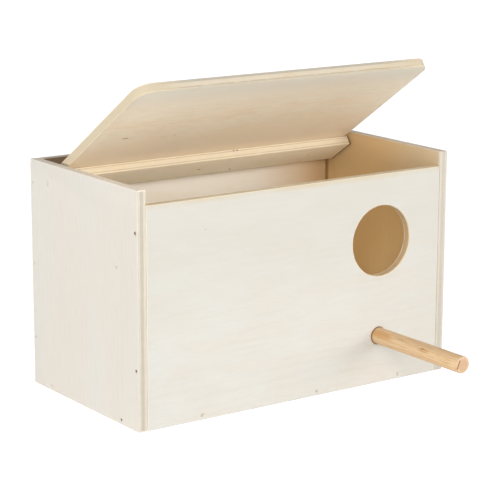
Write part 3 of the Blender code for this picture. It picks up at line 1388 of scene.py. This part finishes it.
@dataclass(frozen=True)
class Nail:
    """A round wire nail or pin with a flat, slightly domed head, driven home.

    Attributes:
        head_radius: Radius of the head.
        head_thickness: Thickness of the head.
        shank_radius: Radius of the shank.
        point: Length of the point.
        dome: Height of the head's dome.
        clearance: Room that the hole leaves round it.
        dish: How far the wood is pressed in round the head.
        facets: Facets round it.
        dome_shares: The dome, as shares of the head's radius and of the dome's height down.
        rim_share: Where the head's rim ends, as a share of its thickness.
        neck_shares: The neck, as shares of the shank's radius and the head's thickness.
        point_shares: The point, as shares of the shank's radius and of its own length.
    """

    head_radius: float = 0.75 * MM
    head_thickness: float = 0.60 * MM
    shank_radius: float = 0.60 * MM
    point: float = 1.80 * MM
    dome: float = 0.12 * MM
    clearance: float = 0.05 * MM
    dish: float = 0.10 * MM
    facets: int = 20
    dome_shares: Profile = ((0.0, 0.0), (0.55, 0.25), (0.90, 1.0), (1.0, 2.0))
    rim_share: float = 0.8
    neck_shares: Profile = ((1.25, 1.0), (1.0, 1.5))
    point_shares: Profile = ((1.0, 1.0), (0.55, 0.42), (0.0, 0.0))

    def forge(self, name: str, length: float) -> bpy.types.Object:
        """Model the nail downwards from the top of its head.

        Args:
            name: The object's name.
            length: Its whole length.

        Returns:
            The nail.
        """
        head, shank, thick = self.head_radius, self.shank_radius, self.head_thickness
        profile = [(head * wide, -self.dome * down) for wide, down in self.dome_shares]
        profile.append((head, -thick * self.rim_share))
        profile += [(shank * wide, -thick * down) for wide, down in self.neck_shares]
        profile += [(shank * wide, self.point * left - length) for wide, left in self.point_shares]
        return turn(name, profile, self.facets)

    def hole(self, length: float, outside: float) -> bpy.types.Object:
        """Model the hole that it makes, with the wood pressed in round its head.

        Args:
            length: The nail's whole length.
            outside: How far the cutter reaches out of the wood.

        Returns:
            The cutter.
        """
        head = self.head_radius + self.clearance
        shank = self.shank_radius + self.clearance
        depth = self.head_thickness + self.clearance
        profile = [
            (0, outside),
            (head + self.dish + outside, outside),
            (head, -self.dish),
            (head, -depth),
            (shank, -depth),
            (shank, -length - self.clearance),
            (0, -length - self.clearance),
        ]
        return turn("nail_hole", profile, self.facets)


# Sub-assemblies


@dataclass(frozen=True)
class Timber:
    """The finishes that the boards are made of.

    Attributes:
        pale: Outer faces of the side panels and the floor.
        shaded: Top of the lid and outer face of the back, which the windows hardly reach.
        front: Outer face of the front, plainer than the others, with painted shade towards its top.
        warm: Inner face of the right side: orange painted bounce light, painted shade at its top,
            painted light at the front.
        back: Inner faces of the left side, the front and the floor, paler than the wood as painted
            light.
        hinge_wall: Inner face of the back; painted shade at its right end, the lid's painted shadow at
            upper left.
        lid_under: Underside of the lid, with painted light: pale ground, greyer at the front, warmer
            at the hinge.
        strip: Faces of the batten, paler than the wood as painted light.
        wall_edge: Sawn edges of the left side, the back and the floor, their ends paler as painted
            light.
        front_edge: Sawn edges of the front, their ends paler as painted light.
        pale_edge: Sawn edges of the right side.
        lid_edge: Sawn edges of the lid, with painted shade along the rim under its top.
        batten_edge: Sawn edges of the batten, with a painted shadow at its ends.
        bore: Walls of the entrance hole and the perch's hole.
    """

    pale: VeneerFace = VeneerFace(
        ground=shade(222, 218, 209), streak=shade(207, 194, 178), blush=shade(223, 213, 202)
    )
    shaded: VeneerFace = VeneerFace(
        ground=shade(238, 230, 214),
        streak=shade(212, 192, 166),
        blush=shade(236, 222, 202),
        figure=0.20,
        fibre=0.18,
    )
    front: VeneerFace = VeneerFace(
        ground=shade(217, 215, 208),
        streak=shade(204, 196, 181),
        blush=shade(217, 210, 199),
        pore=shade(142, 130, 114),
        figure=0.15,
        fibre=0.13,
        patch=0.75,
        toned=(
            # Painted shade: the face darker towards its top.
            Toning(shade(206, 202, 191), 0.55, across=(-25 * MM, 45 * MM)),
            Toning(shade(208, 188, 148), 0.60, across=(57.4 * MM, 60.4 * MM), dapple=0.6),
        ),
        patches=Grain((36 * MM, 13 * MM, 1.0), (0.36, 0.66), 4.0, 7.0),
    )
    warm: VeneerFace = VeneerFace(
        # Painted light: an orange ground standing in for warm light bounced round inside the box.
        ground=shade(255, 220, 163),
        streak=shade(232, 191, 138),
        blush=shade(252, 212, 150),
        figure=0.08,
        fibre=0.08,
        toned=(
            # Painted shade: darker towards the top.
            Toning(shade(216, 184, 137), 0.8, along=(16 * MM, 46 * MM)),
            # Painted light: greyer towards the front and the top, near the opening.
            Toning(
                shade(208, 188, 158), 0.75, along=(20 * MM, 50 * MM), across=(-5 * MM, 45 * MM)
            ),
            Toning(shade(226, 218, 202), 0.9, across=(54.4 * MM, 55.4 * MM)),
            Toning(shade(168, 130, 72), 0.85, across=(-47.5 * MM, -49.8 * MM)),
        ),
    )
    back: VeneerFace = VeneerFace(
        # Painted light: paler than the outer faces, standing in for light the inside of the box lacks.
        ground=shade(252, 246, 233),
        streak=shade(236, 218, 192),
        blush=shade(250, 234, 208),
        fibre=0.08,
    )
    hinge_wall: VeneerFace = VeneerFace(
        # Painted light: paler than the outer faces, standing in for light the inside of the box lacks.
        ground=shade(250, 242, 228),
        streak=shade(232, 213, 188),
        blush=shade(248, 230, 206),
        fibre=0.08,
        toned=(
            # Painted shade: warmer and darker towards the right end, darkest at the right corner.
            Toning(shade(228, 192, 142), 0.65, along=(47 * MM, 92 * MM)),
            Toning(shade(204, 162, 106), 0.6, along=(78 * MM, 99 * MM)),
            # Painted shadow of the lid: dark brown in the upper left corner.
            Toning(
                shade(106, 71, 26), 0.88, along=(-76 * MM, -86 * MM), across=(-46 * MM, -50.6 * MM)
            ),
        ),
    )
    lid_under: VeneerFace = VeneerFace(
        # Painted light: paler than the wood, standing in for light the underside lacks.
        ground=shade(255, 243, 219),
        streak=shade(230, 204, 172),
        blush=shade(254, 228, 198),
        patch=0.42,
        fibre=0.26,
        pores=0.34,
        patches=Grain((24 * MM, 12 * MM, 1.0), (0.38, 0.66), 5.0, 7.0),
        fibres=Grain((7 * MM, 0.9 * MM, 1.0), (0.40, 0.72), 4.0),
        toned=(
            # Painted light: greyer and darker towards the front edge, warmer and redder towards the
            # hinge.
            Toning(shade(236, 224, 204), 0.7, across=(-15 * MM, -45 * MM)),
            Toning(shade(222, 216, 200), 0.7, across=(-36 * MM, -54 * MM)),
            Toning(shade(255, 237, 212), 0.85, across=(-8 * MM, 25 * MM)),
        ),
    )
    # Painted light: paler than the wood, standing in for light the batten's face under the lid lacks.
    strip: VeneerFace = VeneerFace(
        ground=shade(255, 246, 224), streak=shade(242, 214, 184), blush=shade(255, 236, 208)
    )
    wall_edge: SawnEdge = SawnEdge(
        skin=shade(222, 215, 201),
        core=shade(203, 195, 180),
        glue=shade(184, 168, 148),
        amber=shade(204, 182, 148),
        skin_share=0.31,
        seam_share=1.2,
        glue_show=0.12,
        core_show=0.20,
        # Painted light: the ends, the panels' top edges among them, paler than the rest of the edge.
        end_skin=shade(251, 238, 221),
        end_core=shade(251, 238, 219),
    )
    front_edge: SawnEdge = SawnEdge(
        skin=shade(238, 225, 198),
        core=shade(226, 209, 182),
        glue=shade(196, 172, 138),
        amber=shade(214, 186, 138),
        glue_show=0.35,
        core_show=0.20,
        # Painted light: the ends paler, lifting the shade in the groove where the front meets the
        # sides.
        end_skin=shade(244, 237, 224),
        end_core=shade(236, 228, 213),
    )
    pale_edge: SawnEdge = SawnEdge(
        skin=shade(214, 208, 196),
        core=shade(202, 194, 181),
        glue=shade(198, 186, 168),
        amber=shade(216, 202, 178),
        skin_share=0.30,
        seam_share=1.2,
        glue_show=0.12,
        core_show=0.16,
        end_skin=shade(219, 206, 190),
        end_core=shade(208, 193, 174),
    )
    lid_edge: SawnEdge = SawnEdge(
        skin=shade(206, 195, 174),
        core=shade(220, 208, 187),
        glue=shade(184, 156, 124),
        amber=shade(216, 196, 160),
        glue_width=0.34 * MM,
        seam_share=0.7,
        glue_show=0.50,
        core_show=0.14,
        # Painted shade: a grey rim under the lid's top.
        shaded_crest=shade(190, 180, 164),
        shaded_crest_width=2.0 * MM,
        end_skin=shade(225, 209, 179),
        end_core=shade(213, 198, 170),
        end_reach=(-36 * MM, -4 * MM),
    )
    batten_edge: SawnEdge = SawnEdge(
        skin=shade(240, 227, 199),
        core=shade(232, 218, 192),
        glue=shade(182, 154, 120),
        amber=shade(236, 214, 180),
        glue_width=0.40 * MM,
        seam_share=0.7,
        glue_show=0.45,
        core_show=0.12,
        breaks=Grain((14 * MM, 14 * MM, 1.0), (0.10, 0.40)),
        # Painted shadow: both ends dark brown, standing in for the shadow in the gaps to the side
        # walls.
        end_skin=shade(116, 76, 28),
        end_core=shade(116, 76, 28),
        end_reach=(-1.3 * MM, -0.8 * MM),
    )
    bore: SawnEdge = SawnEdge(
        skin=shade(240, 222, 194),
        core=shade(215, 188, 149),
        glue=shade(190, 150, 102),
        amber=shade(212, 172, 118),
        glue_show=0.5,
        core_show=0.25,
    )


@dataclass
class Carcass:
    """The open box: two side panels, the front, the back and the floor between them.

    Attributes:
        nodes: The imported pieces.
        timber: The finishes.
        entrance_place: Middle of the entrance hole, to the right and up.
        entrance_radius: Radius of the entrance hole.
        perch_room: Room between the perch and its hole.
        rim: How far the drilled rims are eased.
        hollow_radius: Radius of the nest hollow's rim.
        hollow_depth: Depth of the nest hollow.
        hollow_place: How far to the right of the box's middle it lies.
        hollow_rings: Rings of its shallow curve.
        hole_facets: Facets of the large round forms.
        outside: How far cutters reach out of the wood.
        bore_reach: How far round a drilled hole its finish reaches.
        inner_seeds: Pattern of the first board's inner face, and the step to the next.
        edge_seeds: The same for the edges.
        left_knots: Knots and flecks on the left side panel.
        front_knots: Knots and flecks on the front.
        boards: The sawn boards, by short names.
    """

    nodes: Mapping[str, bpy.types.Object]
    timber: Timber
    entrance_place: tuple[float, float] = (57.5 * MM, 83.5 * MM)
    entrance_radius: float = 20.5 * MM
    perch_room: float = 0.30 * MM
    rim: float = 0.30 * MM
    hollow_radius: float = 33.0 * MM
    hollow_depth: float = 2.4 * MM
    hollow_place: float = -45.0 * MM
    hollow_rings: int = 16
    hole_facets: int = 96
    outside: float = 1.0 * MM
    bore_reach: float = 0.6 * MM
    inner_seeds: tuple[float, float] = (20.0, 3.1)
    edge_seeds: tuple[float, float] = (0.0, 2.3)
    left_knots: tuple[Knot, ...] = (
        Knot(20.8 * MM, -35.0 * MM, 0.55 * MM, 1.8, 4.0, 0.55),
        Knot(8.0 * MM, -34.0 * MM, 0.30 * MM, 3.0, 14.0, 0.10),
        Knot(-48.4 * MM, -46.3 * MM, 0.35 * MM, 1.2, 2.0, 0.35),
        Knot(42.4 * MM, -54.5 * MM, 0.55 * MM, 2.6, 1.0, 0.85),
        Knot(-31.7 * MM, -54.6 * MM, 0.45 * MM, 2.2, 1.0, 0.75),
    )
    front_knots: tuple[Knot, ...] = (
        Knot(-62.6 * MM, 44.0 * MM, 0.60 * MM, 1.6, 3.0, 0.18),
        Knot(-64.8 * MM, -57.9 * MM, 0.55 * MM, 2.2, 1.0, 0.80),
        Knot(12.5 * MM, -57.9 * MM, 0.60 * MM, 1.7, 1.0, 0.80),
        Knot(71.5 * MM, -57.8 * MM, 0.55 * MM, 1.8, 1.0, 0.50),
    )
    boards: dict[str, Board] = field(default_factory=dict)

    def saw(self) -> None:
        """Saw the five boards and drill what the birds and the perch need."""
        timber = self.timber
        inners = {"right": timber.warm, "back": timber.hinge_wall}
        edges = {"right": timber.pale_edge, "front": timber.front_edge}
        left = replace(timber.pale, seed=1.7, knots=self.left_knots)
        front = replace(timber.front, seed=8.3, knots=self.front_knots)
        plans = {
            "left": ("left_side_panel", Way.LEFT, left),
            "right": ("right_side_panel", Way.RIGHT, replace(timber.pale, seed=4.1)),
            "front": ("front_panel", Way.FRONT, front),
            "back": ("back_panel", Way.BACK, replace(timber.shaded, seed=12.9)),
            "floor": ("floor_panel", Way.UNDER, replace(timber.pale, seed=15.2)),
        }
        for count, (key, (node, way, outer)) in enumerate(plans.items()):
            inner_seed, edge_seed = (
                first + count * step for first, step in (self.inner_seeds, self.edge_seeds)
            )
            self.boards[key] = Board(
                node=node,
                body="box",
                slot="floor_plywood" if key == "floor" else "outer_plywood",
                berth=Berth.of(self.nodes[node], way.turned()),
                outer=outer,
                inner=replace(inners.get(key, timber.back), seed=inner_seed),
                edge=replace(edges.get(key, timber.wall_edge), seed=edge_seed),
                bore=timber.bore if key == "front" else None,
                low_faced=True,
            )
            self.boards[key].saw()
        self._drill_front()
        self._rout_hollow()

    def _drill_front(self) -> None:
        """Drill the entrance hole and the perch's hole."""
        front = self.boards["front"]
        perch = Berth.of(self.nodes["perch"], Way.FRONT.turned())
        perch_radius = perch.size.x / 2 + self.perch_room
        for place, radius in (
            (self.entrance_place, self.entrance_radius),
            (perch.centre.xy, perch_radius),
        ):
            lay = front.berth.turned @ Matrix.Translation((*place, front.berth.centre.z))
            front.drill(self._hole_form(radius, front), lay, radius + self.bore_reach)

    def _hole_form(self, radius: float, board: Board) -> bpy.types.Object:
        """Model a drilled hole with eased rims and open glue lines.

        Args:
            radius: The hole's radius.
            board: The board that it goes through.

        Returns:
            The cutter, about its own middle.
        """
        half = board.berth.size.z / 2
        flare, top = radius + self.rim + self.outside, half + self.outside
        profile = [(0, top), (flare, top), (radius, half - self.rim)]
        for level in board.glue_levels():
            profile.append((radius, level + board.groove_half))
            profile.append((radius + board.groove, level))
            profile.append((radius, level - board.groove_half))
        profile += [(radius, self.rim - half), (flare, -top), (0, -top)]
        return turn("drilled_hole", profile, self.hole_facets)

    def _rout_hollow(self) -> None:
        """Rout the shallow nest hollow into the floor's upper face."""
        floor = self.boards["floor"]
        rim, depth = self.hollow_radius, self.hollow_depth
        ball = (rim**2 + depth**2) / (2 * depth)
        sweep = math.asin(rim / ball)
        profile = [(0, self.outside), (rim, self.outside)]
        for ring in range(self.hollow_rings):
            angle = sweep * (1 - ring / self.hollow_rings)
            height = ball - depth - ball * math.cos(angle)
            profile.append((ball * math.sin(angle), height))
        profile.append((0, -depth))
        lay = Matrix.Translation((self.hollow_place, 0, -floor.berth.low.z))
        floor.drill(turn("nest_hollow", profile, self.hole_facets), lay)


@dataclass
class Lid:
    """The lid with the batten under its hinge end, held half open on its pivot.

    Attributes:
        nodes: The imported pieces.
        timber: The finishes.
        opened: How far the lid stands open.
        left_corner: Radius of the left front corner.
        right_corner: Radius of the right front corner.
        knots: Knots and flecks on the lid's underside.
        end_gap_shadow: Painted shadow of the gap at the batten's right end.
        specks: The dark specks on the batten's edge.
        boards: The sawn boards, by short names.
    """

    nodes: Mapping[str, bpy.types.Object]
    timber: Timber
    opened: float
    left_corner: float = 9.5 * MM
    right_corner: float = 8.0 * MM
    knots: tuple[Knot, ...] = (
        Knot(-76.8 * MM, 1.8 * MM, 0.65 * MM, 3.6, 3.0, 0.75),
        Knot(-50.0 * MM, 5.5 * MM, 0.25 * MM, 14.0, 4.0, 0.30),
    )
    # Painted shadow of the gap between the batten's right end and the right side.
    end_gap_shadow: Toning = Toning(shade(116, 76, 28), 0.85, along=(98.0 * MM, 98.5 * MM))
    specks: tuple[Spot, ...] = (
        Spot((14.2 * MM, -10.7 * MM, 1.8 * MM), 0.60 * MM, core=0.4),
        Spot((16.6 * MM, -10.7 * MM, 1.8 * MM), 0.60 * MM, core=0.4),
    )
    boards: dict[str, Board] = field(default_factory=dict)

    @classmethod
    def on_joint(
        cls, nodes: Mapping[str, bpy.types.Object], timber: Timber, joint: Mapping[str, object]
    ) -> "Lid":
        """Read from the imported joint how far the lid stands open.

        Args:
            nodes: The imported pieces.
            timber: The finishes.
            joint: The lid's joint, whose lower limit is the shut lid.

        Returns:
            The lid.
        """
        return cls(nodes, timber, -math.radians(joint["range_deg"][0]))

    def turned(self, way: Way) -> Matrix:
        """Directions of a piece that lies this way in the shut lid."""
        return Matrix.Rotation(-self.opened, 4, "X") @ way.turned()

    def saw(self) -> None:
        """Saw the lid's board and its batten."""
        timber = self.timber
        upper = self.turned(Way.UPPER)
        self.boards["lid"] = Board(
            node="lid_panel",
            body="lid",
            slot="lid_plywood",
            berth=Berth.of(self.nodes["lid_panel"], upper),
            outer=replace(timber.shaded, seed=31.0),
            inner=replace(timber.lid_under, seed=34.5, knots=self.knots),
            edge=replace(timber.lid_edge, seed=3.3),
            roundings=(
                Rounding(-1, -1, self.left_corner),
                Rounding(1, -1, self.right_corner),
            ),
        )
        self.boards["batten"] = Board(
            node="lid_batten",
            body="lid",
            slot="batten_plywood",
            berth=Berth.of(self.nodes["lid_batten"], upper),
            outer=replace(timber.strip, seed=41.0),
            inner=replace(timber.strip, seed=44.0, toned=(self.end_gap_shadow,)),
            edge=replace(timber.batten_edge, seed=6.1, specks=self.specks),
        )
        for board in self.boards.values():
            board.saw()


@dataclass
class Perch:
    """The dowel through the front, its ends eased with sandpaper.

    Attributes:
        nodes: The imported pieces.
        wood: Its finish.
        facets: Facets round it.
        ease: How far its ends are rounded.
        ease_shares: That rounding, as shares of it inwards and down.
        middle_shares: Shares of the length where the rod's wall has points.
        sawn_face: The end's slight hollow, as shares of the radius, and heights.
    """

    nodes: Mapping[str, bpy.types.Object]
    wood: DowelWood = DowelWood()
    facets: int = 64
    ease: float = 0.95 * MM
    ease_shares: Profile = ((1.0, 0.0), (0.62, 0.08), (0.25, 0.30), (0.06, 0.65), (0.0, 1.0))
    middle_shares: tuple[float, ...] = (0.25, 0.5, 0.75)
    sawn_face: Profile = ((0.0, -0.06 * MM), (0.5, -0.05 * MM))

    def make(self) -> None:
        """Turn the dowel, dress it and let it ride on the box."""
        way = Way.FRONT.turned()
        berth = Berth.of(self.nodes["perch"], way)
        front = Berth.of(self.nodes["front_panel"], way)
        radius, length = berth.size.x / 2, berth.size.z
        rounded = [(radius - self.ease * inset, -self.ease * down) for inset, down in self.ease_shares]
        profile = [(radius * share, height) for share, height in self.sawn_face]
        profile += rounded
        profile += [(radius, -length * share) for share in self.middle_shares]
        profile += [(across, -length - height) for across, height in reversed(rounded)]
        profile += [(radius * share, -length) for share, _ in reversed(self.sawn_face)]
        thing = turn("perch_dowel", profile, self.facets)
        reach = berth.high.z - front.high.z
        at_front = berth.outer_end() @ Matrix.Translation((0, 0, -reach))
        thing.data.materials.append(self.wood.dress("perch_wood", at_front, reach))
        stand_in(thing, berth.outer_end(), "perch", "box")


class Form(Enum):
    """What is modelled for a nail: the nail itself, or the cutter of its hole."""

    NAIL = "nail"
    HOLE = "hole"


@dataclass
class Fasteners:
    """The nails in the walls and the batten, and the two hinge pins.

    Attributes:
        nodes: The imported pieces.
        boards: Every board by its short name.
        lid: The lid, whose batten nails lie along its own directions.
        nail: Sizes of the nails.
        pin: Sizes of the hinge pins.
        steel: Finish of the nails whose heads have rusted.
        grey: Finish of the nails low in the front and the back.
        filled: Finish of the pins and the back rows, whose heads are filled over.
        brown: Finish of the batten's nails.
        hidden: Other nails whose heads are filled over.
        outside: How far a hole's cutter reaches out of the wood.
        side_rows: The rows of nails in each side panel, and how many nails each has.
        floor_row: Nails in the row low in the front, and in the back.
        batten_row: Nails in the batten.
        forged: Each nail and each hole's cutter, modelled once.
    """

    nodes: Mapping[str, bpy.types.Object]
    boards: Mapping[str, Board]
    lid: Lid
    nail: Nail = Nail()
    pin: Nail = Nail(
        head_radius=1.20 * MM,
        head_thickness=0.80 * MM,
        shank_radius=0.80 * MM,
        point=2.40 * MM,
        dome=0.10 * MM,
        facets=28,
    )
    steel: NailSteel = NailSteel()
    grey: NailSteel = NailSteel(
        shade(196, 190, 178), shade(166, 154, 138), stain=0.6, roughness=0.6
    )
    filled: NailSteel = NailSteel(
        shade(216, 211, 200), shade(198, 192, 176), stain=0.7, roughness=0.70, metal=0.0
    )
    brown: NailSteel = NailSteel(
        shade(168, 138, 108), shade(140, 112, 84), stain=0.6, roughness=0.6
    )
    hidden: tuple[str, ...] = ("left_floor_nail_2", "batten_nail_4")
    outside: float = 0.5 * MM
    side_rows: tuple[tuple[str, int], ...] = (("front", 2), ("back", 3), ("floor", 2))
    floor_row: int = 3
    batten_row: int = 4
    forged: dict[str, bpy.types.Object] = field(default_factory=dict)

    def drive(self) -> None:
        """Drive every nail and both pins."""
        for side, way in (("left", Way.LEFT), ("right", Way.RIGHT)):
            for row, count in self.side_rows:
                self._drive_row(f"{side}_{row}", count, way.turned(), (side, row))
            self._drive(f"{side}_hinge_pin", way.turned(), (side, "batten"), self.pin)
        for row, way in (("front", Way.FRONT), ("back", Way.BACK)):
            self._drive_row(f"{row}_floor", self.floor_row, way.turned(), (row, "floor"))
        under = self.lid.turned(Way.UNDER)
        self._drive_row("batten", self.batten_row, under, ("batten", "lid"), "lid")
        for thing in self.forged.values():
            bpy.data.objects.remove(thing, do_unlink=True)

    def _drive_row(
        self, row: str, count: int, turned: Matrix, pierced: Sequence[str], body: str = "box"
    ) -> None:
        """Drive one row of nails.

        Args:
            row: How the nails' names begin.
            count: How many there are.
            turned: Their directions in the nest box.
            pierced: The boards that they go through.
            body: The body that they ride on.
        """
        for number in range(1, count + 1):
            self._drive(f"{row}_nail_{number}", turned, pierced, self.nail, body)

    def _drive(
        self, node: str, turned: Matrix, pierced: Sequence[str], kind: Nail, body: str = "box"
    ) -> None:
        """Drive one nail or pin.

        Args:
            node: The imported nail.
            turned: Its directions in the nest box.
            pierced: The boards that it goes through.
            kind: Its sizes.
            body: The body that it rides on.
        """
        berth = Berth.of(self.nodes[node], turned)
        length, lay = berth.size.z, berth.outer_end()
        for key in pierced:
            self.boards[key].drill(self._copied(Form.HOLE, kind, length), lay)
        thing = self._copied(Form.NAIL, kind, length)
        label(thing, node + "_driven")
        finish = self.filled if node in self.hidden else self._finish_of(kind, pierced)
        thing.data.materials.append(finish.dress(node + "_steel", lay))
        stand_in(thing, lay, node, body)

    def _finish_of(self, kind: Nail, pierced: Sequence[str]) -> NailSteel:
        """Choose the finish of a nail or pin.

        Args:
            kind: Its sizes.
            pierced: The boards that it goes through.

        Returns:
            The finish.
        """
        if kind is self.pin or pierced[1] == "back":
            return self.filled
        if pierced[0] == "batten":
            return self.brown
        return self.grey if pierced[0] in ("front", "back") else self.steel

    def _copied(self, form: Form, kind: Nail, length: float) -> bpy.types.Object:
        """A copy, with its own mesh, of a nail or a hole that is modelled once.

        Args:
            form: Nail or hole.
            kind: Its sizes.
            length: Its length.

        Returns:
            The copy.
        """
        key = f"{form.value}_{kind.head_radius / MM:.2f}_{length / MM:.1f}"
        if key not in self.forged and form is Form.NAIL:
            self.forged[key] = kind.forge(key, length)
        elif key not in self.forged:
            self.forged[key] = kind.hole(length, self.outside)
        copied = self.forged[key].copy()
        copied.data = self.forged[key].data.copy()
        bpy.context.collection.objects.link(copied)
        return copied


# The studio


@dataclass(frozen=True)
class Lamp:
    """A soft lamp: its name, its place, its width and height, and its power."""

    name: str
    place: tuple[float, float, float]
    width: float
    height: float
    power: float


@dataclass
class Studio:
    """Plain white floor, soft light and the camera of the photograph.

    Attributes:
        camera_place: Where the camera stands.
        azimuth: How far round the object it stands.
        elevation: How far it looks down.
        roll: How far it is tilted.
        lens: Focal length on the sensor's width.
        sensor: Width of the sensor.
        aim: Point that the lamps face.
        ambient: Strength of the light from all round.
        floor_side: Side of the floor.
        floor_colour: Colour of the floor.
        floor_lift: How much of the floor's look is plain white.
        floor_glow: How bright that white is.
        clip: Nearest and farthest distance that the camera sees.
        lamps: The lamps.
    """

    camera_place: tuple[float, float, float] = (-0.61177, -0.87174, 0.32096)
    azimuth: float = math.radians(-35.33)
    elevation: float = math.radians(13.01)
    roll: float = math.radians(0.213)
    lens: float = 137.18
    sensor: float = 36.0
    aim: tuple[float, float, float] = (0.0, 0.0, 0.08)
    ambient: float = 0.35
    floor_side: float = 12.0
    floor_colour: Colour = (0.93, 0.93, 0.93)
    floor_lift: float = 0.88
    floor_glow: float = 1.19
    clip: tuple[float, float] = (0.05, 50.0)
    lamps: tuple[Lamp, ...] = (
        Lamp("left_window", (-2.0, 0.1, 0.14), 1.4, 0.26, 18.4),
        Lamp("front_window", (0.0, -2.0, 0.52), 1.2, 0.6, 10.8),
        Lamp("right_window", (1.3, -1.6, 0.62), 1.8, 0.9, 15.2),
        Lamp("sky_window", (-1.1, -1.7, 0.98), 1.0, 0.9, 12.5),
        Lamp("back_window", (0.5, 2.0, 0.75), 1.8, 0.9, 6.0),
    )

    def build(self) -> None:
        """Set up floor, light and camera."""
        bpy.context.scene.view_settings.view_transform = "Standard"
        self._lay_floor()
        self._light_world()
        for lamp in self.lamps:
            self._hang(lamp)
        self._set_camera()

    def _seen(self, bench: Bench) -> Signal:
        """Tell what is seen from what only lights.

        Args:
            bench: The material or world in the making.

        Returns:
            1 for what the camera, a gloss or a clear body shows, and 0 for the rest.
        """
        path = bench.node("ShaderNodeLightPath")
        names = ("Is Camera Ray", "Is Glossy Ray", "Is Transmission Ray")
        rays = [bench.read(path, name) for name in names]
        return rays[0].most(rays[1]).most(rays[2])

    def _light_world(self) -> None:
        """Light from all round, with a white backdrop where it is seen."""
        world = bpy.data.worlds.new("studio")
        bpy.context.scene.world = world
        bench = Bench(world, "Background")
        strength = self._seen(bench) * (1 - self.ambient) + self.ambient
        bench.feed(bench.shader, "Color", WHITE)
        bench.feed(bench.shader, "Strength", strength)

    def _lay_floor(self) -> None:
        """Lay the white floor, which keeps the object's shadow."""
        bpy.ops.mesh.primitive_plane_add(size=self.floor_side, location=(0, 0, 0))
        floor = bpy.context.object
        floor.name = "studio_floor"
        bench = Bench.start("studio_floor_white")
        bench.feed(bench.shader, "Base Color", self.floor_colour)
        bench.feed(bench.shader, "Roughness", 1.0)
        bench.feed(bench.shader, "Specular IOR Level", 0.0)
        light = {"Color": WHITE, "Strength": self.floor_glow}
        glow = bench.node("ShaderNodeEmission", sockets=light)
        lifted = {"Fac": self._seen(bench) * self.floor_lift}
        blend = bench.node("ShaderNodeMixShader", sockets=lifted)
        bench.tree.links.new(bench.shader.outputs[0], blend.inputs[1])
        bench.tree.links.new(bench.output(glow), blend.inputs[2])
        surface = bench.tree.nodes["Material Output"].inputs["Surface"]
        bench.tree.links.new(bench.output(blend), surface)
        floor.data.materials.append(bench.owner)

    def _hang(self, lamp: Lamp) -> None:
        """Hang one soft lamp, facing the object.

        Args:
            lamp: The lamp.
        """
        bpy.ops.object.light_add(type="AREA", location=lamp.place)
        thing = bpy.context.object
        thing.name = lamp.name
        thing.data.shape = "RECTANGLE"
        thing.data.size = lamp.width
        thing.data.size_y = lamp.height
        thing.data.energy = lamp.power
        away = Vector(self.aim) - Vector(lamp.place)
        thing.rotation_euler = away.to_track_quat("-Z", "Y").to_euler()

    def _set_camera(self) -> None:
        """Stand the camera where the photograph was taken from."""
        back = Vector(
            (
                math.sin(self.azimuth) * math.cos(self.elevation),
                -math.cos(self.azimuth) * math.cos(self.elevation),
                math.sin(self.elevation),
            )
        )
        right = (-back).cross(Vector((0, 0, 1))).normalized()
        up = right.cross(-back)
        cosine, sine = math.cos(self.roll), math.sin(self.roll)
        turned = Matrix([right * cosine + up * sine, up * cosine - right * sine, back])
        bpy.ops.object.camera_add(location=self.camera_place)
        camera = bpy.context.object
        camera.name = "photo_camera"
        camera.rotation_euler = turned.transposed().to_euler()
        camera.data.sensor_width = self.sensor
        camera.data.lens = self.lens
        camera.data.clip_start, camera.data.clip_end = self.clip
        bpy.context.scene.camera = camera


def main() -> None:
    """Build the nest box's looks in order."""
    logging.basicConfig(level=logging.INFO, format="%(message)s")
    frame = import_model()
    nodes = frame["nodes"]
    timber = Timber()
    carcass = Carcass(nodes, timber)
    lid = Lid.on_joint(nodes, timber, frame["joints"][0])
    carcass.saw()
    lid.saw()
    boards = carcass.boards | lid.boards
    Fasteners(nodes, boards, lid).drive()
    for board in boards.values():
        board.complete()
    Perch(nodes).make()
    Studio().build()


if __name__ == "__main__":
    main()
